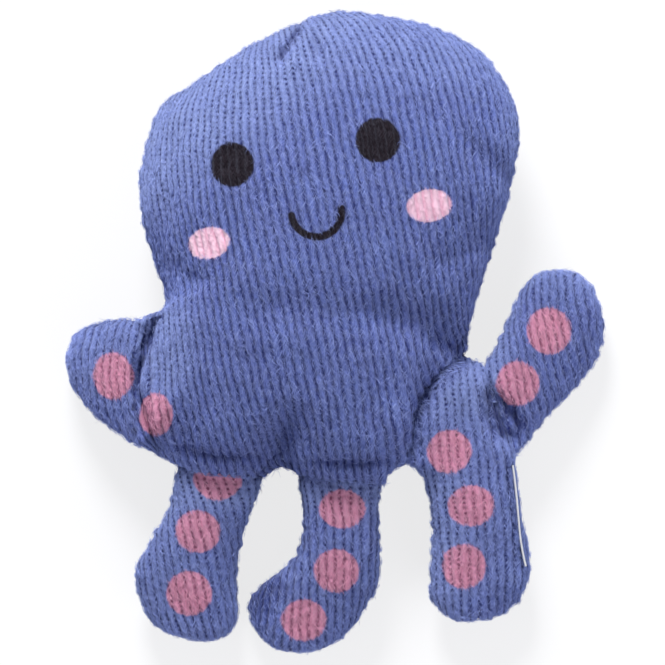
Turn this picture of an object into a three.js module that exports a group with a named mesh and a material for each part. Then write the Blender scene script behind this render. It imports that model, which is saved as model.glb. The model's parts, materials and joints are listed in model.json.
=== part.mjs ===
// A stuffed octopus of ribbed knit, lying on its back with its face up.
// Front and back cloth panels are sewn together round their edge over a fibre filling.
// The toy bends at a fold line across the root of each tentacle, so every panel is divided there.
// Millimetres. +X is the viewer's right, +Y runs to the top of the head, +Z rises out of the face.
// The origin is the middle of the underside of the whole toy's box.

import * as THREE from 'three';
import { mergeVertices } from 'three/addons/utils/BufferGeometryUtils.js';

// Body sizes
const bodyWidth = 91.6;
const bodyLength = 114.6;
const frontCrown = 28;
const backCrown = 20;
const restFlatDepth = 0.5;

// Cloth, filling and seam
const clothThickness = 1.5;
const seamGap = 0.3;
const fillingGap = 0.3;

// Fold lines: how far each piece stays from its line, and how steeply a tentacle swells away from it
const foldGap = 0.25;
const foldSwellDegrees = 40;

// Creases pressed into the front of the body, as shares of the height of the cloth there
const valleyWidth = 10;
const valleyDepthShare = 0.32;
const dartWidth = 5;
const dartDepthShare = 0.3;

// Care label, blank satin standing up out of the right seam of the right leg
const labelLength = 24.6;
const labelWidth = 10;
const labelThickness = 0.3;
const labelGap = 0.3;
const labelStart = 26.4;

// Counts of divisions
const bodyRings = 9;
const bodyInnerRings = 5;
const rowsAlong = 9;
const rowsAcross = 8;
const labelRows = 8;
const seatDivisions = 3;
const shareHalvings = 20;
const softeningReach = 4;
const softeningPower = 4;

// Vertices closer than this are one vertex
const mergeDistance = 1e-4;

// The body's outline in four free runs between the seats of its tentacles, clockwise from the head's top.
// Each point is [share of the width from the middle, share of the length from the bottom].
const headTopShares = [-0.011, 0.997];
const rightRunShares = [
  [0.055, 1.0], [0.203, 0.982], [0.295, 0.961], [0.395, 0.919], [0.447, 0.869], [0.484, 0.814],
  [0.5, 0.751], [0.487, 0.656], [0.455, 0.562], [0.421, 0.477], [0.387, 0.393], [0.364, 0.32], [0.361, 0.292],
];
const lowerRightRunShares = [[0.182, 0.036], [0.161, 0.019]];
const lowerMiddleRunShares = [[-0.121, 0.034]];
const lowerLeftRunShares = [[-0.445, 0.061], [-0.482, 0.078]];
const leftRunShares = [
  [-0.442, 0.37], [-0.432, 0.397], [-0.453, 0.456], [-0.479, 0.519], [-0.497, 0.593], [-0.5, 0.646],
  [-0.489, 0.694], [-0.461, 0.772], [-0.426, 0.812], [-0.345, 0.856], [-0.229, 0.919], [-0.126, 0.961],
  [-0.063, 0.982],
];
const crownCentreShares = [-0.011, 0.467];
const valleyShares = [[-0.116, 0.029], [-0.076, 0.172]];
const dartShares = [[-0.066, 0.982], [-0.116, 0.86]];

// Each tentacle is laid out from its fold line: a rail point is
// [share of the reach away from the line, share of the root width along it].
const leftArm = {
  name: 'left_arm',
  placeShares: [-0.507, 0.218],
  headingDegrees: 180,
  rootWidth: 29.6,
  reach: 17.5,
  crown: 8,
  droopDegrees: 33,
  tipCapShare: 0.62,
  firstRailShares: [[0, -0.5], [0.23, -0.42], [0.5, -0.3], [0.72, -0.17], [0.89, -0.04], [1, 0.18]],
  secondRailShares: [[0, 0.5], [0.23, 0.52], [0.43, 0.52], [0.67, 0.47], [0.83, 0.42], [0.94, 0.33], [1, 0.18]],
};
const leftLeg = {
  name: 'left_leg',
  placeShares: [-0.289, 0.024],
  headingDegrees: -98.3,
  rootWidth: 20.9,
  reach: 40.6,
  crown: 8,
  droopDegrees: 16.5,
  tipCapShare: 0.22,
  firstRailShares: [
    [0, -0.5], [0.11, -0.46], [0.24, -0.4], [0.36, -0.37], [0.48, -0.36], [0.66, -0.39], [0.78, -0.44],
    [0.89, -0.41], [0.96, -0.28], [1, -0.09],
  ],
  secondRailShares: [
    [0, 0.5], [0.15, 0.5], [0.28, 0.55], [0.44, 0.67], [0.56, 0.77], [0.67, 0.8], [0.79, 0.72],
    [0.91, 0.57], [0.98, 0.36], [1, 0.13], [1, -0.09],
  ],
};
const middleLeg = {
  name: 'middle_leg',
  placeShares: [0.034, 0.008],
  headingDegrees: -95.2,
  rootWidth: 21.3,
  reach: 42.2,
  crown: 8,
  droopDegrees: 16,
  tipCapShare: 0.22,
  firstRailShares: [
    [0, -0.5], [0.08, -0.44], [0.25, -0.47], [0.42, -0.51], [0.58, -0.49], [0.72, -0.38], [0.85, -0.23],
    [0.95, 0.01], [1, 0.3],
  ],
  secondRailShares: [
    [0, 0.5], [0.12, 0.43], [0.29, 0.4], [0.42, 0.44], [0.53, 0.6], [0.62, 0.8], [0.72, 0.93], [0.82, 0.91],
    [0.92, 0.78], [0.98, 0.57], [1, 0.3],
  ],
};
// The right leg starts with a shoulder: its first section is the shoulder's upper edge, and its first
// rail passes the seat of the right arm.
const rightLeg = {
  name: 'right_leg',
  placeShares: [0.269, 0.163],
  headingDegrees: -25.2,
  rootWidth: 26.9,
  reach: 39,
  crown: 8.4,
  droopDegrees: 11,
  tailDroopDegrees: 11,
  tipCapShare: 0.16,
  rootCapShare: 0.16,
  firstRailShares: [
    [0.16, -0.58], [0.27, -0.42], [0.41, -0.22], [0.59, 0.04], [0.63, 0.17], [0.7, 0.34], [0.79, 0.55],
    [0.9, 0.76], [0.97, 0.93], [1, 1.09], [0.97, 1.3], [0.9, 1.46], [0.79, 1.58],
  ],
  secondRailShares: [
    [0.01, -0.5], [0.01, -0.29], [0.01, 0], [0.01, 0.49], [0.09, 0.54], [0.19, 0.67], [0.29, 0.89],
    [0.36, 1.12], [0.42, 1.35], [0.48, 1.52], [0.56, 1.61], [0.67, 1.63], [0.79, 1.58],
  ],
};
const rightArm = {
  name: 'right_arm',
  carrier: rightLeg,
  placeShares: [0.386, -0.258],
  headingDegrees: 20,
  rootWidth: 22.6,
  reach: 31.7,
  crown: 8,
  droopDegrees: 20,
  tipCapShare: 0.24,
  firstRailShares: [
    [0, -0.5], [0.12, -0.63], [0.24, -0.8], [0.34, -0.95], [0.45, -1.1], [0.56, -1.21], [0.67, -1.23],
    [0.81, -1.18],
  ],
  secondRailShares: [
    [0, 0.5], [0.19, 0.35], [0.4, 0.2], [0.59, 0.07], [0.76, -0.08], [0.89, -0.24], [0.97, -0.43],
    [1, -0.67], [0.99, -0.93], [0.91, -1.09], [0.81, -1.18],
  ],
};
const tentacles = [leftArm, leftLeg, middleLeg, rightLeg, rightArm];

const radians = THREE.MathUtils.degToRad;
const lerp = THREE.MathUtils.lerp;

function bodyPoint([acrossShare, upShare]) {
  return new THREE.Vector3(acrossShare * bodyWidth, upShare * bodyLength, 0);
}

// The middle of a fold line in plan, and its directions: away from the body, and along the line.
// A tentacle that another one carries has its place in shares of the carrier's reach and root width.
function foldFrame(tentacle) {
  const heading = radians(tentacle.headingDegrees);
  const out = new THREE.Vector3(Math.cos(heading), Math.sin(heading), 0);
  const side = new THREE.Vector3(out.y, -out.x, 0);
  if (!tentacle.carrier) {
    return { middle: bodyPoint(tentacle.placeShares), out, side };
  }
  const [outShare, sideShare] = tentacle.placeShares;
  const carried = foldFrame(tentacle.carrier);
  const middle = carried.middle
    .addScaledVector(carried.out, outShare * tentacle.carrier.reach)
    .addScaledVector(carried.side, sideShare * tentacle.carrier.rootWidth);
  return { middle, out, side };
}

// A straight seat on the body, just behind a tentacle's fold line
function seatPoints(tentacle, from, to) {
  const { middle, out, side } = foldFrame(tentacle);
  const points = [];
  for (let i = 0; i <= seatDivisions; i += 1) {
    const along = lerp(from, to, i / seatDivisions) * tentacle.rootWidth;
    points.push(middle.clone().addScaledVector(out, -foldGap).addScaledVector(side, along));
  }
  return points;
}

// A smooth run through its points, from the end of one seat to the start of the next
function freeRun(start, shares, end, divisions) {
  const curve = new THREE.CatmullRomCurve3([start, ...shares.map(bodyPoint), end], false, 'centripetal');
  return curve.getSpacedPoints(divisions).slice(1, -1);
}

function bodyOutline() {
  const top = bodyPoint(headTopShares);
  const shoulderSeat = seatPoints(rightLeg, -0.5, 0.5);
  const middleSeat = seatPoints(middleLeg, -0.5, 0.5);
  const leftSeat = seatPoints(leftLeg, -0.5, 0.5);
  const armSeat = seatPoints(leftArm, -0.5, 0.5);
  return [
    top,
    ...freeRun(top, rightRunShares, shoulderSeat[0], 14),
    ...shoulderSeat,
    ...freeRun(shoulderSeat.at(-1), lowerRightRunShares, middleSeat[0], 3),
    ...middleSeat,
    ...freeRun(middleSeat.at(-1), lowerMiddleRunShares, leftSeat[0], 3),
    ...leftSeat,
    ...freeRun(leftSeat.at(-1), lowerLeftRunShares, armSeat[0], 3),
    ...armSeat,
    ...freeRun(armSeat.at(-1), leftRunShares, top, 15),
  ].reverse();
}

// How strongly a crease that starts at the seam and fades out inwards is felt at a point, 0 to 1
function creaseAt(point, shares, width) {
  const [start, end] = shares.map(bodyPoint);
  const line = new THREE.Line3(start, end);
  const nearest = line.closestPointToPoint(point, true, new THREE.Vector3());
  const run = nearest.distanceTo(start) / line.distance();
  const offset = nearest.distanceTo(point) / width;
  return Math.exp(-offset * offset) * (1 - THREE.MathUtils.smoothstep(run, 0, 1));
}

// The outline with its corners averaged away, for the rings near the crown
function softened(outline) {
  const count = outline.length;
  return outline.map((edge, i) => {
    const sum = new THREE.Vector3();
    for (let step = -softeningReach; step <= softeningReach; step += 1) {
      sum.add(outline[(i + step + count) % count]);
    }
    return sum.divideScalar(2 * softeningReach + 1);
  });
}

// A skin is a list of triangles seen anticlockwise from above, and its rim in the same direction.
// The body's skin is a set of rings from its crown out to its outline, drawn in by an inset.
function bodySkin(face, inset, ringCount) {
  const outline = bodyOutline();
  const soft = softened(outline);
  const centre = bodyPoint(crownCentreShares);
  const crown = (face > 0 ? frontCrown : backCrown) - inset;
  const flatHeight = backCrown - restFlatDepth - inset;
  const flatAngle = Math.acos(flatHeight / (backCrown - inset));
  const rings = [];
  for (let ring = 0; ring < ringCount; ring += 1) {
    const angle = lerp(flatAngle, Math.PI / 2, ring / (ringCount - 1));
    rings.push(outline.map((edge, i) => {
      const reach = soft[i].clone().lerp(edge, Math.sin(angle) ** softeningPower);
      const drawnIn = 1 - inset / edge.distanceTo(centre);
      const point = centre.clone().lerp(reach, Math.sin(angle) * drawnIn);
      let height = crown * Math.cos(angle);
      if (ring === ringCount - 1) {
        height = 0;
      } else if (face > 0) {
        height *= 1 - valleyDepthShare * creaseAt(point, valleyShares, valleyWidth);
        height *= 1 - dartDepthShare * creaseAt(point, dartShares, dartWidth);
      }
      point.z = face * (seamGap / 2 + height);
      return point;
    }));
  }
  const peak = centre.clone();
  peak.z = face * (seamGap / 2 + (face > 0 ? crown : flatHeight));
  const triangles = [];
  const count = outline.length;
  for (let i = 0; i < count; i += 1) {
    const next = (i + 1) % count;
    triangles.push([peak, rings[0][i], rings[0][next]]);
    for (let ring = 1; ring < ringCount; ring += 1) {
      const inner = rings[ring - 1];
      const outer = rings[ring];
      triangles.push([inner[i], outer[i], outer[next]], [inner[i], outer[next], inner[next]]);
    }
  }
  return { triangles, rim: rings.at(-1) };
}

// A rail in plan: x away from the fold line, y along it
function railCurve(tentacle, shares) {
  const points = shares.map(([outShare, sideShare]) => (
    new THREE.Vector3(outShare * tentacle.reach, sideShare * tentacle.rootWidth, 0)
  ));
  return new THREE.CatmullRomCurve3(points, false, 'centripetal');
}

// A point on a rail, moved square to it by an inset, and by the fold's inset where it runs beside the fold
function insetPoint(rail, share, inset, foldInset, turn) {
  const point = rail.getPointAt(share);
  const run = rail.getTangentAt(share);
  const nearFold = Math.exp(-((point.x / foldInset) ** 2));
  return point.addScaledVector(new THREE.Vector3(-run.y, run.x, 0), turn * lerp(inset, foldInset, nearFold));
}

// The share of a rail's length at which it has left the fold line by a distance
function shareAtOut(rail, out) {
  let [low, high] = [0, 0.5];
  for (let halving = 0; halving < shareHalvings; halving += 1) {
    const half = (low + high) / 2;
    if (rail.getPointAt(half).x < out) {
      low = half;
    } else {
      high = half;
    }
  }
  return high;
}

// How far the middle of a tentacle has sunk below the seam, at a point given from its own fold line
function drop(tentacle, out, side) {
  let sunk = out * Math.tan(radians(tentacle.droopDegrees));
  if (tentacle.tailDroopDegrees) {
    sunk += Math.max(0, side - tentacle.rootWidth / 2) * Math.tan(radians(tentacle.tailDroopDegrees));
  }
  if (tentacle.carrier) {
    const own = foldFrame(tentacle);
    const carried = foldFrame(tentacle.carrier);
    const root = own.middle.addScaledVector(own.side, side).sub(carried.middle);
    sunk += drop(tentacle.carrier, root.dot(carried.out), root.dot(carried.side));
  }
  return sunk;
}

// Rises steeply from 0 and levels out at 1, as a quarter of a circle
function roundedEnd(share) {
  const rest = 1 - Math.min(1, Math.max(0, share));
  return Math.sqrt(1 - rest * rest);
}

// The lower of two heights with the corner between them rounded off
function softLower(first, second) {
  const power = 3;
  if (first <= 0 || second <= 0) {
    return 0;
  }
  return (first ** -power + second ** -power) ** (-1 / power);
}

// A tentacle's skin is a grid between its two rails, drawn in by an inset, crowned across and round
// at its tip, and drawn in to nothing at its fold line.
function tentacleSkin(tentacle, face, inset) {
  const firstRail = railCurve(tentacle, tentacle.firstRailShares);
  const secondRail = railCurve(tentacle, tentacle.secondRailShares);
  const railLength = Math.min(firstRail.getLength(), secondRail.getLength());
  const swell = Math.tan(radians(foldSwellDegrees));
  const foldInset = foldGap + inset / Math.sin(radians(foldSwellDegrees));
  const rootCap = tentacle.rootCapShare ?? 0;
  const startOf = (rail) => (rootCap > 0 ? inset / railLength : shareAtOut(rail, foldInset));
  const [firstStart, secondStart] = [firstRail, secondRail].map(startOf);
  const grid = [];
  for (let row = 0; row <= rowsAlong; row += 1) {
    const even = row / rowsAlong;
    const along = lerp(even, 1 - (1 - even) ** 2, 0.5);
    const first = insetPoint(firstRail, lerp(firstStart, 1, along), inset, foldInset, 1);
    const second = insetPoint(secondRail, lerp(secondStart, 1, along), inset, foldInset, -1);
    const centre = first.clone().lerp(second, 0.5);
    const half = row === rowsAlong ? new THREE.Vector3() : second.clone().sub(centre);
    const endRound = roundedEnd((1 - along) / tentacle.tipCapShare)
      * (rootCap > 0 ? roundedEnd(along / rootCap) : 1);
    const points = [];
    for (let column = 0; column <= rowsAcross; column += 1) {
      const turn = lerp(-Math.PI / 2, Math.PI / 2, column / rowsAcross);
      const point = centre.clone().addScaledVector(half, Math.sin(turn));
      const onRim = column === 0 || column === rowsAcross || row === rowsAlong || row === 0;
      const crowned = (tentacle.crown - inset) * Math.cos(turn) * endRound;
      const swollen = (point.x - foldInset) * swell;
      const height = onRim ? 0 : softLower(crowned, swollen);
      const middle = -drop(tentacle, point.x, point.y);
      points.push(new THREE.Vector3(point.x, -point.y, middle + face * (seamGap / 2 + height)));
    }
    grid.push(points);
  }
  const triangles = [];
  for (let row = 0; row < rowsAlong; row += 1) {
    for (let column = 0; column < rowsAcross; column += 1) {
      const [a, b] = [grid[row][column], grid[row][column + 1]];
      const [c, d] = [grid[row + 1][column + 1], grid[row + 1][column]];
      triangles.push([a, b, c], [a, c, d]);
    }
  }
  const rim = [
    ...grid[0].slice(0, -1),
    ...grid.slice(0, -1).map((points) => points.at(-1)),
    ...grid.at(-1).slice(1).reverse(),
    ...grid.slice(1).map((points) => points[0]).reverse(),
  ];
  return { triangles, rim };
}

function reversed(triangles) {
  return triangles.map(([a, b, c]) => [a, c, b]);
}

// The flat band between the rims of two skins with as many rim points
function rimBand(outer, inner) {
  return outer.flatMap((point, i) => {
    const next = (i + 1) % outer.length;
    return [[outer[next], point, inner[i]], [outer[next], inner[i], inner[next]]];
  });
}

// One closed solid from its triangles, without the ones that have shrunk to a line, facing out
function solid(triangles) {
  const kept = triangles.filter(([a, b, c]) => (
    a.distanceTo(b) > mergeDistance && b.distanceTo(c) > mergeDistance && c.distanceTo(a) > mergeDistance
  ));
  const volume = kept.reduce((sum, [a, b, c]) => sum + a.dot(b.clone().cross(c)), 0);
  const facing = volume < 0 ? reversed(kept) : kept;
  const geometry = new THREE.BufferGeometry().setFromPoints(facing.flat());
  return mergeVertices(geometry, mergeDistance);
}

// A cloth panel: an outer skin, an inner skin one cloth thickness in, and the seam allowance's flat rim
function clothPanel(outer, inner) {
  return solid([...outer.triangles, ...reversed(inner.triangles), ...rimBand(outer.rim, inner.rim)]);
}

// The filling: a front and a back skin joined round their rims
function stuffing(front, back) {
  return solid([...front.triangles, ...reversed(back.triangles), ...rimBand(front.rim, back.rim)]);
}

function cloth(name, geometry) {
  const material = new THREE.MeshStandardMaterial({ color: 0x6973b0, roughness: 0.95, metalness: 0 });
  const mesh = new THREE.Mesh(geometry, material);
  mesh.name = name;
  return mesh;
}

function fibre(name, geometry) {
  const material = new THREE.MeshStandardMaterial({ color: 0xf2f0ea, roughness: 1, metalness: 0 });
  const mesh = new THREE.Mesh(geometry, material);
  mesh.name = name;
  return mesh;
}

function bodyPieces() {
  const fillingInset = clothThickness + fillingGap;
  const pieces = new THREE.Group();
  pieces.add(
    cloth('body_front_panel', clothPanel(
      bodySkin(1, 0, bodyRings),
      bodySkin(1, clothThickness, bodyInnerRings),
    )),
    cloth('body_back_panel', clothPanel(
      bodySkin(-1, 0, bodyRings),
      bodySkin(-1, clothThickness, bodyInnerRings),
    )),
    fibre('body_filling', stuffing(
      bodySkin(1, fillingInset, bodyInnerRings),
      bodySkin(-1, fillingInset, bodyInnerRings),
    )),
  );
  return pieces;
}

// The blank label: a strip along the right leg's first rail, standing up from the seam
function careLabel() {
  const rail = railCurve(rightLeg, rightLeg.firstRailShares);
  const railLength = rail.getLength();
  const sections = [];
  for (let row = 0; row <= labelRows; row += 1) {
    const share = (labelStart + (row / labelRows) * labelLength) / railLength;
    const foot = rail.getPointAt(share);
    const run = rail.getTangentAt(share);
    const away = new THREE.Vector3(run.y, -run.x, 0);
    const inside = foot.clone().addScaledVector(away, labelGap);
    const outside = foot.clone().addScaledVector(away, labelGap + labelThickness);
    sections.push([inside, outside].flatMap((point) => {
      const seam = -drop(rightLeg, foot.x, foot.y);
      return [0, labelWidth].map((height) => new THREE.Vector3(point.x, -point.y, seam + height));
    }));
  }
  const corners = [0, 1, 3, 2];
  const triangles = [];
  for (let row = 0; row < labelRows; row += 1) {
    const [near, far] = [sections[row], sections[row + 1]];
    corners.forEach((corner, i) => {
      const next = corners[(i + 1) % corners.length];
      triangles.push([near[corner], near[next], far[next]], [near[corner], far[next], far[corner]]);
    });
  }
  const [start, end] = [sections[0], sections.at(-1)];
  triangles.push([start[0], start[3], start[1]], [start[0], start[2], start[3]]);
  triangles.push([end[0], end[1], end[3]], [end[0], end[3], end[2]]);
  const material = new THREE.MeshStandardMaterial({ color: 0xf7f7f5, roughness: 0.5, metalness: 0 });
  const mesh = new THREE.Mesh(solid(triangles), material);
  mesh.name = 'care_label';
  return mesh;
}

function tentaclePieces(tentacle) {
  const fillingInset = clothThickness + fillingGap;
  const pieces = new THREE.Group();
  pieces.add(
    cloth(`${tentacle.name}_front_panel`, clothPanel(
      tentacleSkin(tentacle, 1, 0),
      tentacleSkin(tentacle, 1, clothThickness),
    )),
    cloth(`${tentacle.name}_back_panel`, clothPanel(
      tentacleSkin(tentacle, -1, 0),
      tentacleSkin(tentacle, -1, clothThickness),
    )),
    fibre(`${tentacle.name}_filling`, stuffing(
      tentacleSkin(tentacle, 1, fillingInset),
      tentacleSkin(tentacle, -1, fillingInset),
    )),
  );
  if (tentacle === rightLeg) {
    pieces.add(careLabel());
  }
  pieces.position.copy(foldFrame(tentacle).middle);
  pieces.rotation.z = radians(tentacle.headingDegrees);
  return pieces;
}

const octopus = new THREE.Group();
octopus.add(bodyPieces(), ...tentacles.map(tentaclePieces));
octopus.updateMatrixWorld(true);
const box = new THREE.Box3().setFromObject(octopus, true);
const middle = box.getCenter(new THREE.Vector3());
octopus.position.set(-middle.x, -middle.y, -box.min.z);

export default octopus;
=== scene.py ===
import bmesh
import bpy
import math
import numpy as np
from functools import partial
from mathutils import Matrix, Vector
from mathutils.kdtree import KDTree
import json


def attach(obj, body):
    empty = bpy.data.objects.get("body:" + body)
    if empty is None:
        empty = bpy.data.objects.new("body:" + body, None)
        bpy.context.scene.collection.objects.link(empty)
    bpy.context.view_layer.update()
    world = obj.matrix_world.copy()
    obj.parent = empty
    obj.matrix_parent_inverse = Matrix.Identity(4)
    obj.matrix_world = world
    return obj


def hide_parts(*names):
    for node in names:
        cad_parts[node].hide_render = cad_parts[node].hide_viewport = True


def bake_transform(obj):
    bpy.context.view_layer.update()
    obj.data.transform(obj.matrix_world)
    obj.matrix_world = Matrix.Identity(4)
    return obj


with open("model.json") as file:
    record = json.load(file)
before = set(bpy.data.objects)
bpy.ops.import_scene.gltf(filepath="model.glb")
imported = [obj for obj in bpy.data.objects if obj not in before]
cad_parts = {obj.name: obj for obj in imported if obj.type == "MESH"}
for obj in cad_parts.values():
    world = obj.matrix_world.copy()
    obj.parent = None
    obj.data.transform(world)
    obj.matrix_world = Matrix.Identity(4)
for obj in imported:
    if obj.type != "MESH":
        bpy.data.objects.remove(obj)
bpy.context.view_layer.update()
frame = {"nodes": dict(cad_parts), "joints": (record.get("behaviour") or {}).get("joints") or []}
print("frame loaded:", len(frame["nodes"]), "nodes")

mm = 0.001                      # all shapes below are worked out in millimetres


# small helpers

def hexColour(code):
    channels = [int(code[i:i + 2], 16) / 255 for i in (1, 3, 5)]
    linear = [c / 12.92 if c <= 0.04045 else ((c + 0.055) / 1.055) ** 2.4 for c in channels]
    return linear + [1.0]


def smoothStep(low, high, value):
    share = np.clip((value - low) / (high - low), 0, 1)
    return share * share * (3 - 2 * share)


def smoothRun(points, count):
    # a centripetal curve through the points, spaced evenly
    p = np.array(points, float)
    p = np.vstack([2 * p[0] - p[1], p, 2 * p[-1] - p[-2]])
    steps = np.maximum(np.sqrt(np.linalg.norm(np.diff(p, axis=0), axis=1)), 1e-4)
    t = np.linspace(0, 1, 25)[:-1, None]
    dense = []
    for i in range(1, len(p) - 2):
        a, b, c = steps[i - 1:i + 2]
        leave = ((p[i] - p[i - 1]) / a - (p[i + 1] - p[i - 1]) / (a + b) + (p[i + 1] - p[i]) / b) * b
        arrive = ((p[i + 1] - p[i]) / b - (p[i + 2] - p[i]) / (b + c) + (p[i + 2] - p[i + 1]) / c) * b
        dense.append((2 * t ** 3 - 3 * t ** 2 + 1) * p[i] + (t ** 3 - 2 * t ** 2 + t) * leave
                     + (3 * t ** 2 - 2 * t ** 3) * p[i + 1] + (t ** 3 - t ** 2) * arrive)
    dense.append(p[-2:-1])
    dense = np.vstack(dense)
    run = np.concatenate([[0], np.cumsum(np.linalg.norm(np.diff(dense, axis=0), axis=1))])
    at = np.linspace(0, run[-1], count)
    return np.stack([np.interp(at, run, dense[:, k]) for k in (0, 1)], axis=1)


def ripple(points, size, seed):
    # smooth unevenness of about one, the same on each run
    rng = np.random.default_rng(seed)
    total = np.zeros(len(points))
    for _ in range(8):
        turn = rng.normal(size=points.shape[1])
        turn *= rng.uniform(0.7, 1.4) * 2 * math.pi / (size * np.linalg.norm(turn))
        total += np.sin(points @ turn + rng.uniform(0, 2 * math.pi))
    return total / 2


def smoothMax(first, second, power=4):
    first, second = np.maximum(first, 0), np.maximum(second, 0)
    return (first ** power + second ** power) ** (1 / power)


def smoothMin(first, second, power=3):
    first, second = np.maximum(first, 1e-6), np.maximum(second, 1e-6)
    return (first ** -power + second ** -power) ** (-1 / power)


def roundedEnd(share):
    rest = 1 - np.clip(share, 0, 1)
    return np.sqrt(1 - rest * rest)


def nearestOnRun(run, spots):
    # distance to a run, and the share of its length at the nearest place
    gaps = np.linalg.norm(spots[:, None, :] - run[None, :, :], axis=2)
    nearest = gaps.argmin(axis=1)
    return gaps[np.arange(len(spots)), nearest], nearest / (len(run) - 1)


def addObject(name, data):
    holder = bpy.data.objects.new(name, data)
    bpy.context.scene.collection.objects.link(holder)
    return holder


def newMesh(name, points, faces):
    mesh = bpy.data.meshes.new(name)
    mesh.from_pydata(points.tolist(), [], faces)
    return mesh


def smoothFaces(mesh):
    mesh.polygons.foreach_set("use_smooth", [True] * len(mesh.polygons))


def vertexPlaces(mesh):
    places = np.zeros(len(mesh.vertices) * 3, np.float32)
    mesh.vertices.foreach_get("co", places)
    return places.reshape(-1, 3).astype(float) / mm


def vertexNormals(mesh):
    normals = np.zeros(len(mesh.vertices) * 3, np.float32)
    mesh.vertex_normals.foreach_get("vector", normals)
    return normals.reshape(-1, 3).astype(float)


def gridQuads(rows, columns):
    r, c = np.meshgrid(np.arange(rows), np.arange(columns), indexing="ij")
    a = (r * (columns + 1) + c).ravel()
    return np.stack([a, a + 1, a + columns + 2, a + columns + 1], axis=1)


def outwardFaces(mesh):
    kit = bmesh.new()
    kit.from_mesh(mesh)
    bmesh.ops.recalc_face_normals(kit, faces=kit.faces)
    kit.to_mesh(mesh)
    kit.free()


# the toy's shape, in plan

body = {
    "centre": (-2.4, 16.5),
    "seam": 19.65,
    "seamGap": 0.1,             # from the seam's plane to the cloth on either side
    "halfWidth": 50,            # about, to space the rings
    "rimRadius": 34,            # about, where the cloth turns down to the seam
    "frontCrown": 28.0,
    "backCrown": 20.0,
    "backFlat": 19.5,
    "softReach": 44,            # outline samples averaged each way for the rings near the crown
    "wallReach": 12,            # the same for where the outline is free and where a tentacle sits
    "runSamples": 200,          # of each run of the outline
    "samples": 896,
    "rings": 150,
    "halveAt": (0.52, 0.27, 0.14, 0.07),    # sines of the ring angles where the samples halve
    "wallAngle": 65,
    "crownShift": (-1.5, 14),   # how far towards the head the front is thickest
    "scallop": 0.06,            # the seam's waviness
    "pucker": 0.16,             # short folds that run in from the seam
    "puckerReach": 6,
    "pinch": 0.5,               # how far the seam draws the cloth in
    # the cloth's inside: rings back from the rim, and how often the samples are halved there
    "innerRings": ((0, 0), (6, 1), (14, 2), (26, 3), (44, 3), (66, 3), (90, 3), (115, 4)),
}

# clockwise from the head's top: name, points, how far the cloth hangs over what starts there
bodyRuns = [
    ("headRight", [(-2.4, 77.3), (3.6, 77.6), (17.1, 75.5), (25.5, 73.1), (34.7, 68.3), (39.5, 62.5),
                   (42.9, 56.2), (44.4, 49), (43.1, 38.2), (40.2, 27.3), (37.1, 17.7), (34, 8),
                   (31.9, -0.4), (31.5, -4.5)], 0),
    ("shoulder", [(31.5, -4.5), (27.4, -7.9), (22.9, -12.2), (20.3, -15.8), (18.8, -20.6), (18.1, -27.9),
                  (17.6, -30.8)], 0.3),
    ("lowerRight", [(17.6, -30.8), (15.0, -32.6), (12.8, -34.4), (11.6, -36.3)], 0),
    ("middleLip", [(11.6, -36.3), (5.3, -36.3), (-1, -35.6), (-8.9, -34.0)], 0.9),
    ("lowerMiddle", [(-8.9, -34.0), (-12.8, -32.4), (-17.4, -34.6)], 0),
    ("leftLip", [(-17.4, -34.6), (-20.5, -34.9), (-28, -34.4), (-34.5, -33.3), (-38, -31.9)], 0.7),
    ("lowerLeft", [(-38, -31.9), (-42, -29.6), (-45.4, -27.8), (-47.9, -26.9)], 0),
    ("armSeat", [(-47.9, -26.9), (-47.9, -12.2), (-47.9, 2.7)], 0),
    ("headLeft", [(-47.9, 2.7), (-42, 5.4), (-41, 8.5), (-42.9, 15.3), (-45.3, 22.5), (-47, 30.9),
                  (-47.3, 37), (-46.3, 42.5), (-43.6, 51.4), (-40.5, 56), (-33, 61.1), (-22.4, 68.3),
                  (-13, 73.1), (-7.3, 75.5), (-2.4, 77.3)], 0),
]
seatNames = ("shoulder", "middleLip", "leftLip", "armSeat")
shoulderCrease = smoothRun(bodyRuns[1][1], 80)

leftArm = {
    "name": "leftArm", "bendLength": 10, "joint": "left_arm_fold", "node": "left_arm", "carrier": "body",
    "rootWidth": 29.6, "crown": 8, "droop": 33, "tipCap": 0.62, "rootCap": 0,
    "saddle": 7.2, "saddleReach": 8, "rows": 56, "columns": 88,
    "first": [(-46.9, -27.6), (-47.9, -26.9), (-51.8, -24.5), (-56.7, -21.1), (-60.5, -17.3), (-63.4, -13.2),
              (-65.3, -6.7)],
    "second": [(-46.9, 3.0), (-47.9, 3.2), (-51.8, 3.5), (-55.5, 3.2), (-59.6, 1.8), (-62.4, 0.5),
               (-64.3, -2.3), (-65.3, -6.7)],
}
leftLeg = {
    "name": "leftLeg", "bendLength": 10, "joint": "left_leg_fold", "node": "left_leg", "carrier": "body",
    "rootWidth": 20.9, "crown": 8, "droop": 16.5, "tipCap": 0.22, "rootCap": 0,
    "saddle": 5.6, "saddleReach": 7, "rows": 120, "columns": 84,
    "first": [(-17.2, -33.4), (-17.6, -35.8), (-19.1, -40.2), (-21, -45), (-22.4, -49.8), (-23.4, -54.6),
              (-23.8, -61.8), (-23.4, -67.1), (-24.6, -71.5), (-27.7, -73.9), (-31.8, -74.6)],
    "second": [(-38, -30.8), (-38.3, -33.2), (-39.3, -38.9), (-41, -43.8), (-44.4, -49.8), (-47.3, -54.6),
               (-48.5, -58.9), (-47.5, -63.8), (-45.1, -69.1), (-41.2, -72.4), (-36.4, -74.1),
               (-31.8, -74.6)],
}
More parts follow.
